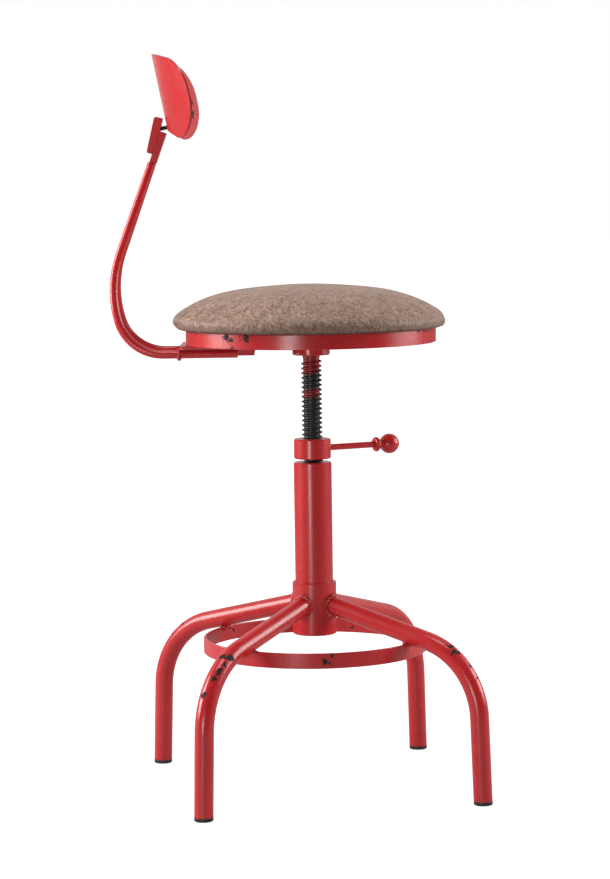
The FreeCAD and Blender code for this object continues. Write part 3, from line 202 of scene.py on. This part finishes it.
def red_enamel(name, chips=(), scatter=0.6, worn_edges=0.5):
    """Glossy red enamel over steel, with dark chips, rubbed edges and painted shade along the edges."""
    # The last red is the painted shade for the edges
    bright_red, full_red, deep_red, edge_shade_red = (
        (0.59, 0.022, 0.025), (0.53, 0.017, 0.020), (0.45, 0.014, 0.018), (0.24, 0.010, 0.014))
    dark_steel, grey_steel = (0.009, 0.006, 0.008), (0.036, 0.022, 0.024)
    finish = Finish(name)
    patchy = finish.ramp(finish.noise(9.0, detail=3.0), 0.35, 0.65)
    cloudy = finish.ramp(finish.noise(60.0, detail=4.0), 0.3, 0.7)
    red = finish.mix(patchy, full_red, bright_red)
    red = finish.mix(finish.math("MULTIPLY", cloudy, 0.3), red, deep_red)
    edges = edge_mask(finish, 1.6 * MM)
    # Painted shade: the edges are darkened towards a deep red
    red = finish.mix(finish.math("MULTIPLY", edges, 0.45), red, edge_shade_red)
    rubbed = finish.math("MULTIPLY", edges, finish.ramp(finish.noise(120.0, detail=4.0), 0.60, 0.66))
    rubbed = finish.math("MULTIPLY", rubbed, worn_edges)
    mask = finish.math("MAXIMUM", chip_mask(finish, chips, scatter), rubbed)
    steel = finish.mix(finish.noise(400.0, detail=3.0), dark_steel, grey_steel)
    finish.set(Base_Color=finish.mix(mask, red, steel))
    gloss = finish.ramp(finish.noise(34.0, detail=5.0), 0.3, 0.7, 0.24, 0.33)
    finish.set(Roughness=finish.ramp(mask, 0.0, 1.0, gloss, 0.62))
    finish.set(Specular_IOR_Level=finish.ramp(mask, 0.0, 1.0, 0.5, 0.2))
    finish.set(Coat_Weight=finish.ramp(mask, 0.0, 1.0, 0.12, 0.0), Coat_Roughness=0.18)
    peel = finish.bump(finish.noise(620.0, detail=2.0), 0.06 * MM, 0.35)
    film = finish.math("SUBTRACT", 1.0, mask)
    finish.set(Normal=finish.bump(film, 0.18 * MM, 0.8, below=peel))
    return finish.material


def screw_steel(name):
    """Oiled black steel, with red enamel under the boss and a faint red band halfway."""
    finish = Finish(name)
    wander = finish.math("MULTIPLY_ADD", finish.noise(55.0, detail=4.0), 22.0 * MM, finish.axis("Z"))
    top = finish.ramp(wander, 564.0 * MM, 572.0 * MM)
    band_start = finish.ramp(wander, 535.0 * MM, 538.0 * MM)
    band_end = finish.ramp(wander, 545.0 * MM, 549.0 * MM, 1.0, 0.0)
    band = finish.math("MULTIPLY", band_start, band_end)
    painted = finish.math("MAXIMUM", top, finish.math("MULTIPLY", band, 0.75))
    black = finish.mix(finish.noise(240.0, detail=4.0), (0.010, 0.010, 0.012), (0.040, 0.036, 0.034))
    red = finish.mix(finish.noise(80.0), (0.20, 0.010, 0.014), (0.33, 0.016, 0.020))
    finish.set(Base_Color=finish.mix(painted, black, red))
    finish.set(Metallic=0.25, Roughness=finish.ramp(finish.noise(120.0), 0.3, 0.7, 0.34, 0.52))
    finish.set(Normal=finish.bump(finish.noise(700.0, detail=3.0), 0.08 * MM, 0.5))
    return finish.material


def plain_steel(name, tone=0.32, roughness=0.34):
    """Turned or plated steel with fine turning marks."""
    finish = Finish(name)
    marks = finish.noise(900.0, detail=2.0, place=finish.stretched(0.2, 0.2, 1.0))
    dull, clean = (tone * 0.75, tone * 0.73, tone * 0.7), (tone, tone, tone * 0.98)
    finish.set(Base_Color=finish.mix(finish.noise(70.0), dull, clean), Metallic=0.9)
    finish.set(Roughness=finish.ramp(marks, 0.3, 0.7, roughness - 0.06, roughness + 0.1))
    finish.set(Normal=finish.bump(marks, 0.04 * MM, 0.4))
    return finish.material


def moulded_plastic(name, dark, light, roughness=0.5):
    """Moulded plastic with a fine spark-eroded grain."""
    finish = Finish(name)
    finish.set(Base_Color=finish.mix(finish.noise(45.0), dark, light))
    finish.set(Roughness=finish.ramp(finish.noise(90.0), 0.3, 0.7, roughness - 0.06, roughness + 0.08))
    finish.set(Normal=finish.bump(finish.noise(1500.0, detail=2.0), 0.06 * MM, 0.5))
    return finish.material


def plywood(name):
    """Raw plywood with long grain along Y."""
    finish = Finish(name)
    grain = finish.noise(160.0, detail=5.0, distortion=0.6, place=finish.stretched(1.0, 0.06, 1.0))
    pores = finish.noise(900.0, detail=2.0, place=finish.stretched(1.0, 0.04, 1.0))
    colour = finish.mix(finish.ramp(grain, 0.3, 0.7), (0.42, 0.27, 0.14), (0.60, 0.43, 0.26))
    colour = finish.mix(finish.ramp(pores, 0.56, 0.66, 0.0, 0.6), colour, (0.22, 0.13, 0.07))
    finish.set(Base_Color=colour, Roughness=0.78, Normal=finish.bump(pores, 0.15 * MM, 0.6))
    return finish.material


def strokes(finish, place, turn, scale):
    """Fine strokes, drawn out along the Y direction after the given turn about the vertical."""
    drawn_out = finish.add("Mapping", vector_type="TEXTURE", inputs={
        "Vector": place, "Scale": (1.0, 5.0, 2.0), "Rotation": (0.0, 0.0, turn)})
    return finish.ramp(finish.noise(scale, detail=3.0, roughness=0.6, place=drawn_out), 0.55, 0.64)


def distressed_leather(name):
    """Brown artificial leather with rubbed strokes, fine cracks and a faint sheen, with painted shade on
    the rolled edge and a painted shadow at the hem.
    """
    dark, middle, pale = (0.130, 0.066, 0.044), (0.290, 0.170, 0.120), (0.540, 0.375, 0.285)
    # Colour of the painted shadow at the hem
    shadow = (0.010, 0.006, 0.005)
    finish = Finish(name)
    bent = finish.shift(8.0 * MM, scale=45.0, detail=2.0, roughness=0.5)
    broad = finish.ramp(finish.noise(10.0, detail=2.0), 0.38, 0.62)
    mottle = finish.ramp(finish.noise(75.0, detail=5.0, roughness=0.7), 0.36, 0.64)
    pale_strokes = dark_strokes = 0.0
    for turn in (0.5, -0.9, 1.9):
        pale_strokes = finish.math("MAXIMUM", pale_strokes, strokes(finish, bent, turn, 400.0))
        dark_strokes = finish.math("MAXIMUM", dark_strokes, strokes(finish, bent, turn + 0.6, 360.0))
    cell_edge = finish.add("TexVoronoi", output="Distance", feature="DISTANCE_TO_EDGE", inputs={
        "Vector": bent, "Scale": 190.0, "Randomness": 1.0})
    cracks = finish.ramp(cell_edge, 0.0, 0.07, 1.0, 0.0)
    colour = finish.mix(finish.ramp(mottle, 0.0, 1.0, 0.35, 1.0), dark, middle)
    for mask, share, tint in ((broad, 0.25, pale), (dark_strokes, 0.75, dark),
                              (pale_strokes, 0.70, pale), (cracks, 0.30, dark)):
        colour = finish.mix(finish.math("MULTIPLY", mask, share), colour, tint)
    # Painted shade darkens the rolled edge, and a painted shadow darkens the hem
    height = finish.axis("Z")
    colour = finish.mix(finish.ramp(height, SEAT_BOTTOM, SEAT_BOTTOM + 22.0 * MM, 0.55, 0.0), colour, dark)
    colour = finish.mix(finish.ramp(height, SEAT_BOTTOM, SEAT_BOTTOM + 4.0 * MM, 0.9, 0.0), colour, shadow)
    finish.set(Base_Color=colour, Roughness=finish.ramp(pale_strokes, 0.0, 1.0, 0.50, 0.62))
    finish.set(Specular_IOR_Level=0.35, Sheen_Weight=0.08, Sheen_Roughness=0.5)
    finish.set(Sheen_Tint=(0.9, 0.8, 0.7, 1.0))
    grain = finish.add("TexVoronoi", output="Distance", inputs={"Vector": finish.place, "Scale": 900.0})
    dents = finish.bump(finish.noise(60.0, detail=3.0), 0.6 * MM, 0.25)
    grained = finish.bump(grain, 0.12 * MM, 0.5, below=dents)
    relief = finish.math("SUBTRACT", pale_strokes, dark_strokes)
    finish.set(Normal=finish.bump(relief, 0.15 * MM, 0.4, below=grained))
    return finish.material


def weld_enamel(name):
    """Red enamel over a rough weld, with a little soot in the hollows."""
    finish = Finish(name)
    soot = finish.ramp(finish.noise(150.0, detail=4.0), 0.58, 0.72, 0.0, 0.55)
    finish.set(Base_Color=finish.mix(soot, (0.54, 0.020, 0.022), (0.11, 0.014, 0.016)))
    finish.set(Roughness=finish.ramp(finish.noise(90.0), 0.3, 0.7, 0.26, 0.42))
    finish.set(Coat_Weight=0.2, Coat_Roughness=0.2)
    finish.set(Normal=finish.bump(finish.noise(520.0, detail=3.0), 0.2 * MM, 0.5))
    return finish.material


def dress(material, *nodes):
    """Gives CAD nodes one material."""
    for node in nodes:
        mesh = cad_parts[node].data
        mesh.materials.clear()
        mesh.materials.append(material)


def piece(name, mesh, material, body, replaced=()):
    """Makes an object from a mesh in the frame and hands it to a body."""
    item = bpy.data.objects.new(name, mesh)
    bpy.context.scene.collection.objects.link(item)
    mesh.materials.clear()
    mesh.materials.append(material)
    for face in mesh.polygons:
        face.use_smooth = True
    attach(item, body)
    if replaced:
        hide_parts(*replaced)
    return item


def finish_mesh(bm, name):
    mesh = bpy.data.meshes.new(name)
    bmesh.ops.recalc_face_normals(bm, faces=bm.faces)
    bm.to_mesh(mesh)
    bm.free()
    return mesh


def ring_of(radius, steps):
    """Points (x, y) on a circle about the origin."""
    angles = [FULL_TURN * step / steps for step in range(steps)]
    return [(radius * math.cos(angle), radius * math.sin(angle)) for angle in angles]


def sweep_bead(bm, points, radius, closed=True, sides=12, seed=0.0, rough=1.0):
    """Adds a bead along the points: a tube that is lumpy where rough is one, and plain where it is zero."""
    ripple, ripple_size, lump_size, dent_size, tip_size = 2.9 * MM, 0.16, 0.55, 0.22, 0.35
    count = len(points)
    rings = []
    travelled = 0.0
    for index, point in enumerate(points):
        before = points[index - 1] if closed or index else point
        after = points[(index + 1) % count] if closed or index + 1 < count else point
        travelled += (point - before).length
        along = (after - before).normalized()
        across = along.cross(Vector((0.0, 0.0, 1.0)))
        if across.length < 0.1:
            across = along.cross(Vector((1.0, 0.0, 0.0)))
        across.normalize()
        up = across.cross(along)
        wave = math.sin(FULL_TURN * travelled / ripple)
        lump = noise.noise(point * 170 + Vector((seed, 0, 0)))
        size = radius * (1.0 + rough * (ripple_size * wave + lump_size * lump))
        if not closed and index in (0, count - 1):
            size *= tip_size
        ring = []
        for cosine, sine in ring_of(1.0, sides):
            spoke = (across * cosine + up * sine) * size
            dent = noise.noise((point + spoke) * 420 + Vector((0, seed, 0)))
            ring.append(bm.verts.new(point + spoke * (1.0 + dent_size * rough * dent)))
        rings.append(ring)
    for index in range(count if closed else count - 1):
        first, second = rings[index], rings[(index + 1) % count]
        for side in range(sides):
            following = (side + 1) % sides
            bm.faces.new((first[side], first[following], second[following], second[side]))
    if not closed:
        bm.faces.new(reversed(rings[0]))
        bm.faces.new(rings[-1])


def leg_azimuth(index):
    return FIRST_LEG_AZIMUTH + index * math.pi / 2


def hub_joint_points(index, grown, count=150):
    """Points round a leg where its surface, grown a little, meets the hub."""
    azimuth = leg_azimuth(index)
    outward = Vector((math.cos(azimuth), math.sin(azimuth), 0.0))
    side = Vector((-math.sin(azimuth), math.cos(azimuth), 0.0))
    run = outward * math.cos(LEG_SLOPE) - Vector((0, 0, math.sin(LEG_SLOPE)))
    lift = run.cross(side)
    points = []
    for cosine, sine in ring_of(1.0, count):
        start = Vector((0, 0, LEG_ROOT)) + (lift * cosine + side * sine) * (LEG_RADIUS + grown)
        # The run meets the hub where the point's distance from the axis equals the hub's radius
        a = run.x ** 2 + run.y ** 2
        b = 2 * (start.x * run.x + start.y * run.y)
        c = start.x ** 2 + start.y ** 2 - (HUB_RADIUS + grown) ** 2
        points.append(start + run * ((-b + math.sqrt(b * b - 4 * a * c)) / (2 * a)))
    return points


def make_leg_welds(material):
    """A bead round each leg at the hub, with a few drops of spatter on its upper half."""
    drops, round_the_leg = 9, 60
    bm = bmesh.new()
    for index in range(len(LEG_NAMES)):
        sweep_bead(bm, hub_joint_points(index, 0.3 * MM), 3.3 * MM, seed=index * 3.7)
        joint = hub_joint_points(index, 1.0 * MM, round_the_leg)
        for _ in range(drops):
            angle = random.uniform(-1.1, 1.1)
            middle = joint[int(angle / FULL_TURN * round_the_leg) % round_the_leg]
            middle = middle + Vector([random.uniform(-1, 1) * 1.5 * MM for _ in range(3)])
            size = random.uniform(1.4, 2.7) * MM
            drop = bmesh.ops.create_icosphere(bm, subdivisions=2, radius=size)
            for vertex in drop["verts"]:
                swell = 1 + 0.25 * noise.noise(vertex.co * 900 + middle * 300)
                vertex.co = vertex.co * swell + middle
    mesh = finish_mesh(bm, "leg_weld_beads")
    piece("leg_weld_beads", mesh, material, "base", ["leg_welds"])


def make_ring_welds(material):
    """A bead along the ring's outside corner under each leg, and one inside."""
    outside, inside = RING_RADIUS + 0.6 * MM, RING_RADIUS - 4.6 * MM
    half_length, droop, steps = 9.0 * MM, 1.6 * MM, 44
    bm = bmesh.new()
    for index in range(len(LEG_NAMES)):
        for radius, seed in ((outside, 1.3), (inside, 8.1)):
            points = []
            for step in range(steps):
                share = step / (steps - 1) * 2 - 1
                angle = leg_azimuth(index) + half_length / radius * share
                level = RING_TOP - 0.6 * MM - droop * share ** 2
                points.append(Vector((radius * math.cos(angle), radius * math.sin(angle), level)))
            sweep_bead(bm, points, 2.1 * MM, closed=False, seed=index * 2.2 + seed)
    mesh = finish_mesh(bm, "ring_weld_beads")
    piece("ring_weld_beads", mesh, material, "base", ["ring_welds"])


def make_rod_welds(material):
    """A bead round each back rod at the mounting plate's rear edge."""
    low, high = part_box("back_mount_plate")
    rod_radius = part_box("back_rod_left")[1][0] - ROD_X
    level, rear = low[2] - rod_radius, high[1] + 1.2 * MM
    bm = bmesh.new()
    for side in (-1, 1):
        circle = ring_of(rod_radius + 0.4 * MM, 64)
        points = [Vector((side * ROD_X + x, rear, level + z)) for x, z in circle]
        sweep_bead(bm, points, 2.2 * MM, seed=5.0 + side)
    mesh = finish_mesh(bm, "rod_weld_beads")
    piece("rod_weld_beads", mesh, material, "seat", ["rod_welds"])


def arc_points(centre, radius, start, end, count):
    """Points on an arc in the section plane (radius, height). Angles start at the outward direction."""
    points = []
    for step in range(count + 1):
        angle = start + (end - start) * step / count
        points.append((centre[0] + radius * math.cos(angle), centre[1] + radius * math.sin(angle)))
    return points


def cushion_section():
    """The cushion's section from its crown to the middle of its underside: three arcs and a flat hem."""
    shoulder, crown = 90.0 * MM, 520.0 * MM
    hem_width, cover_thickness = 46.0 * MM, 4.0 * MM
    outward = Vector((1.0, 0.0))
    nose_centre = Vector((SEAT_RADIUS - NOSE_RADIUS, SEAT_NOSE))
    crown_centre = Vector((0.0, SEAT_TOP - crown))
    # The shoulder's arc touches both the crown's and the nose's
    span = nose_centre - crown_centre
    distance = span.length
    unit = span / distance
    reach = crown - shoulder
    along = (reach ** 2 - (shoulder - NOSE_RADIUS) ** 2 + distance ** 2) / (2 * distance)
    off = math.sqrt(reach ** 2 - along ** 2)
    shoulder_centre = crown_centre + unit * along + Vector((-unit.y, unit.x)) * off
    crown_end = (shoulder_centre - crown_centre).angle_signed(outward)
    nose_start = (nose_centre - shoulder_centre).angle_signed(outward)
    section = arc_points(crown_centre, crown, math.pi / 2, crown_end, 44)
    section += arc_points(shoulder_centre, shoulder, crown_end, nose_start, 18)[1:]
    section += arc_points(nose_centre, NOSE_RADIUS, nose_start, -math.pi / 2, 16)[1:]
    hem, hem_top = SEAT_RADIUS - hem_width, SEAT_BOTTOM + cover_thickness
    section += [(hem + run, SEAT_BOTTOM) for run in (22 * MM, 10 * MM, 0.0)]
    section += [(hem, hem_top), (0.0, hem_top)]
    return section


def turned_mesh(section, name, steps=180):
    """A closed mesh of revolution whose section starts and ends on the axis."""
    bm = bmesh.new()
    top = bm.verts.new((0.0, 0.0, section[0][1]))
    low = bm.verts.new((0.0, 0.0, section[-1][1]))
    rings = []
    for radius, height in section[1:-1]:
        rings.append([bm.verts.new((x, y, height)) for x, y in ring_of(radius, steps)])
    for step in range(steps):
        following = (step + 1) % steps
        bm.faces.new((top, rings[0][step], rings[0][following]))
        for upper, lower in zip(rings, rings[1:]):
            bm.faces.new((upper[step], lower[step], lower[following], upper[following]))
        bm.faces.new((low, rings[-1][following], rings[-1][step]))
    return finish_mesh(bm, name)


def ease(value, low, high):
    """Zero below low, one above high, with a soft start and end between them."""
    share = min(1.0, max(0.0, (value - low) / (high - low)))
    return share * share * (3 - 2 * share)


def draw_in(mesh, depth):
    """Moves the skin in along its normals: in full at the crown, less at the shoulder, not at the nose."""
    moves = []
    for vertex in mesh.vertices:
        radius = math.hypot(vertex.co.x, vertex.co.y)
        above_nose = ease(vertex.co.z, SEAT_NOSE, SEAT_NOSE + 14.0 * MM)
        share = above_nose * (1.0 - 0.9 * ease(radius, 40.0 * MM, 120.0 * MM))
        moves.append(vertex.normal * depth * share)
    for vertex, move in zip(mesh.vertices, moves):
        vertex.co -= move


def mesh_of(item):
    """A new mesh of the item with its modifiers applied."""
    return bpy.data.meshes.new_from_object(item.evaluated_get(bpy.context.evaluated_depsgraph_get()))


def inflate(item, held, limit):
    """Lets the cover swell like stuffed cloth, held at the given vertices, and caps how far it moves."""
    item.vertex_groups.new(name="held").add(held, 1.0, "REPLACE")
    before = [vertex.co.copy() for vertex in item.data.vertices]
    cloth = item.modifiers.new("swell", "CLOTH")
    cloth.settings.use_pressure = True
    cloth.settings.uniform_pressure_force = 4.0
    cloth.settings.effector_weights.gravity = 0.0
    cloth.settings.vertex_group_mass = "held"
    cloth.settings.quality = 6
    cloth.settings.mass = 0.02
    scene = bpy.context.scene
    for step in range(1, 21):
        scene.frame_set(step)
    swollen = mesh_of(item)
    item.modifiers.remove(cloth)
    for vertex, start, after in zip(item.data.vertices, before, swollen.vertices):
        move = after.co - start
        vertex.co = start + move * min(1.0, limit / max(move.length, 1e-9))
    bpy.data.meshes.remove(swollen)
    scene.frame_set(1)


def gather(mesh):
    """Draws the lower edge into small uneven pleats, with a soft crease above them."""
    lump, backward_shift = 0.5 * MM, 3.0 * MM
    pleats, pleat_depth, pleat_drop, pleat_rest = 52, 1.1 * MM, 0.9 * MM, 0.3
    crease_level, crease_width, crease_depth = SEAT_NOSE + 3.5 * MM, 2.8 * MM, 1.0 * MM
    for vertex in mesh.vertices:
        place = vertex.co
        radius = math.hypot(place.x, place.y)
        swell = noise.noise(Vector((place.x, place.y, 0.0)) * 11.0)
        low = min(1.0, max(0.0, (SEAT_NOSE - place.z) / (11.0 * MM)))
        place.z += lump * swell * (1.0 - low)
        # The stuffing sits a little towards the back
        place.y += backward_shift * (1.0 - low)
        if radius < SEAT_RADIUS * 0.7:
            continue
        around = Vector((place.x / radius, place.y / radius, 0.0))
        angle = math.atan2(place.y, place.x) + 0.03 * noise.noise(around * 9.0)
        share = 1.0 + noise.noise(around * 14.0 + Vector((3.0, 0.0, 0.0)))
        wave = math.sin(angle * pleats + 2.5 * noise.noise(around * 20.0))
        pleat = (0.5 + 0.5 * wave) ** 3
        place += around * (low * low * (pleat - pleat_rest) * pleat_depth * share)
        if place.z > SEAT_BOTTOM + 0.4 * MM:
            place.z -= low * pleat * pleat_drop * share
        crease = math.exp(-((place.z - crease_level) / crease_width) ** 2)
        depth = 0.8 + 0.7 * noise.noise(around * 4.0 + Vector((0.0, 7.0, 0.0)))
        place -= around * (crease * depth * crease_depth)


def make_cushion(material):
    """The padded seat: a crowned closed form that swells from a slightly smaller shape."""
    mesh = turned_mesh(cushion_section(), "seat_cushion")
    item = piece("seat_cushion", mesh, material, "seat", ["seat_cover", "seat_foam"])
    remesh = item.modifiers.new("even", "REMESH")
    remesh.mode = "VOXEL"
    remesh.voxel_size = 4.5 * MM
    remesh.use_smooth_shade = True
    even = mesh_of(item)
    item.modifiers.clear()
    item.data = even
    draw_in(even, 3.5 * MM)
    held = [vertex.index for vertex in even.vertices if vertex.co.z < SEAT_NOSE + 1.5 * MM]
    inflate(item, held, 5.0 * MM)
    gather(even)
    smooth = item.modifiers.new("smooth", "SUBSURF")
    smooth.levels = smooth.render_levels = 1
    even.materials.clear()
    even.materials.append(material)


def near_a_tab(angle):
    """Whether the angle is at one of the four tabs under the board, halfway between the axes."""
    quarter = math.pi / 2
    return abs(angle % quarter - quarter / 2) < 0.1


def make_staples(material):
    """Wire staples that hold the hem to the board."""
    count, wire_radius, half_length, leg_height = 40, 0.55 * MM, 5.0 * MM, 1.2 * MM
    radius, level = SEAT_RADIUS - 33 * MM, SEAT_BOTTOM - 0.35 * MM
    bm = bmesh.new()
    for index in range(count):
        angle = FULL_TURN * (index + random.uniform(-0.2, 0.2)) / count
        if near_a_tab(angle):
            continue
        middle = Vector((radius * math.cos(angle), radius * math.sin(angle), level))
        turn = angle + math.pi / 2 + random.uniform(-0.35, 0.35)
        along = Vector((math.cos(turn), math.sin(turn), 0.0))
        points = [middle + along * (half_length * step / 6) for step in range(-6, 7)]
        points[0] += Vector((0, 0, leg_height)) + along * 0.6 * MM
        points[-1] += Vector((0, 0, leg_height)) - along * 0.6 * MM
        sweep_bead(bm, points, wire_radius, closed=False, sides=8, rough=0.0)
    piece("hem_staples", finish_mesh(bm, "hem_staples"), material, "seat")


def leg_chips(index):
    """Chips on the outside of each leg's bend, denser on the two legs at the stool's -X side."""
    azimuth = leg_azimuth(index)
    draw = random.Random(11 + index)
    # How many chips, and the side of the tube that they lean to
    count, facing = {1: (11, 1), 2: (6, -1)}.get(index, (3, 1))
    chips = []
    for _ in range(count):
        fall = math.radians(draw.uniform(27, 66))
        around = facing * math.radians(draw.uniform(-5, 55))
        reach = BEND_RADIUS + LEG_RADIUS * math.cos(around)
        radius = BEND_CENTRE_REACH + reach * math.sin(fall)
        level = BEND_CENTRE_LEVEL + reach * math.cos(fall)
        side = LEG_RADIUS * math.sin(around)
        x = radius * math.cos(azimuth) - side * math.sin(azimuth)
        y = radius * math.sin(azimuth) + side * math.cos(azimuth)
        chips.append((x / MM, y / MM, level / MM, draw.uniform(4.5, 7.5)))
    return chips


def dress_nodes():
    """Gives every CAD node its finish."""
    dress(red_enamel("red_enamel"),
          "hub", "column_tube", "column_nut", "lock_collar", "lever_rod", "ball_knob", "screw_boss",
          "underframe_bar_long", "underframe_bar_left", "underframe_bar_right", "ring_tabs",
          "back_mount_plate", "rod_stop_bar", "back_rod_left", "back_rod_right", "back_strap", "back_block")
    dress(red_enamel("apron_enamel", APRON_CHIPS), "apron_ring")
    dress(red_enamel("ring_enamel", RING_CHIPS), "foot_ring")
    dress(red_enamel("pan_enamel", PAN_CHIPS, scatter=0.9, worn_edges=0.1), "back_pan")
    black, charcoal = (0.012, 0.012, 0.013), (0.03, 0.03, 0.032)
    for index, name in enumerate(LEG_NAMES):
        dress(red_enamel(f"leg_enamel_{name}", leg_chips(index)), f"leg_{name}")
        dress(moulded_plastic(f"cap_plastic_{name}", black, charcoal), f"foot_cap_{name}")
    dress(screw_steel("screw_steel"), "screw")
    dress(plain_steel("plain_steel"),
          "stop_washer", "stop_bolt", "board_screws", "mount_bolts", "mount_nuts", "pan_screws")
    nylon = moulded_plastic("nylon", (0.55, 0.53, 0.47), (0.66, 0.64, 0.57), 0.45)
    dress(nylon, "guide_bush", "friction_washer")
    dress(plywood("plywood"), "seat_board")
    rubber = moulded_plastic("spacer_rubber", (0.014, 0.014, 0.015), (0.03, 0.03, 0.03), 0.62)
    dress(rubber, "pan_spacers")


def make_lamp(name, place, target, size, power):
    lamp = bpy.data.lights.new(name, "AREA")
    lamp.shape = "RECTANGLE"
    lamp.size, lamp.size_y = size
    lamp.energy = power
    item = bpy.data.objects.new(name, lamp)
    item.location = place
    item.rotation_euler = (Vector(target) - item.location).to_track_quat("-Z", "Y").to_euler()
    bpy.context.scene.collection.objects.link(item)


def make_world():
    """White to the camera. To other rays the room is bright on the +X side and dim on the -X side."""
    white = (1.0, 1.0, 1.0, 1.0)
    world = bpy.data.worlds.new("studio")
    bpy.context.scene.world = world
    world.use_nodes = True
    nodes, links = world.node_tree.nodes, world.node_tree.links
    parts = nodes.new("ShaderNodeSeparateXYZ")
    links.new(nodes.new("ShaderNodeTexCoord").outputs["Generated"], parts.inputs[0])
    fade = nodes.new("ShaderNodeMapRange")
    for name, value in (("From Min", -0.5), ("From Max", 0.6), ("To Min", 0.06), ("To Max", 0.62)):
        fade.inputs[name].default_value = value
    links.new(parts.outputs["X"], fade.inputs["Value"])
    room, shown = nodes["Background"], nodes.new("ShaderNodeBackground")
    room.inputs["Color"].default_value = shown.inputs["Color"].default_value = white
    links.new(fade.outputs[0], room.inputs["Strength"])
    mix = nodes.new("ShaderNodeMixShader")
    links.new(nodes.new("ShaderNodeLightPath").outputs["Is Camera Ray"], mix.inputs[0])
    links.new(room.outputs[0], mix.inputs[1])
    links.new(shown.outputs[0], mix.inputs[2])
    links.new(mix.outputs[0], nodes["World Output"].inputs["Surface"])


def make_floor():
    """A plain floor. To the camera it glows to white, and near the stool it keeps a faint shadow."""
    grey, near, far = 0.45, 0.7, 1.4
    bm = bmesh.new()
    bmesh.ops.create_grid(bm, x_segments=1, y_segments=1, size=30.0)
    floor = bpy.data.objects.new("floor", finish_mesh(bm, "floor"))
    bpy.context.scene.collection.objects.link(floor)
    finish = Finish("floor")
    finish.set(Base_Color=(grey, grey, grey, 1.0), Roughness=0.9, Specular_IOR_Level=0.1)
    away = finish.add("VectorMath", output="Value", operation="LENGTH", inputs={0: finish.place})
    seen = finish.add("LightPath", output="Is Camera Ray")
    glow = finish.math("MULTIPLY", finish.ramp(away, near, far, 0.76, 1.0), seen)
    light = finish.add("Emission", inputs={"Strength": glow})
    total = finish.add("AddShader", inputs={0: finish.shader.outputs[0], 1: light})
    finish.links.new(total, finish.nodes["Material Output"].inputs["Surface"])
    floor.data.materials.append(finish.material)


def make_camera():
    """A camera a little above the seat, level in roll to within a degree, with a long lens."""
    focal_pixels, image_height = 2779.7, 879
    forward = Vector((0.99545319, -0.00428048, -0.09515581))
    up = Vector((0.09508315, -0.0148085, 0.99535918))
    right = forward.cross(up)
    data = bpy.data.cameras.new("camera")
    data.sensor_width = 36.0
    data.lens = focal_pixels / image_height * data.sensor_width
    camera = bpy.data.objects.new("camera", data)
    camera.location = (-3.7093, 0.0257, 0.8222)
    camera.rotation_euler = Matrix([(right[i], up[i], -forward[i]) for i in range(3)]).to_euler()
    bpy.context.scene.collection.objects.link(camera)
    bpy.context.scene.camera = camera


def main():
    dress_nodes()
    weld = weld_enamel("weld_enamel")
    make_leg_welds(weld)
    make_ring_welds(weld)
    make_rod_welds(weld)
    make_cushion(distressed_leather("distressed_leather"))
    make_staples(plain_steel("staple_wire", 0.5, 0.3))
    make_world()
    make_floor()
    for lamp in LAMPS:
        make_lamp(*lamp)
    make_camera()
    bpy.context.scene.view_settings.view_transform = "Standard"


main()
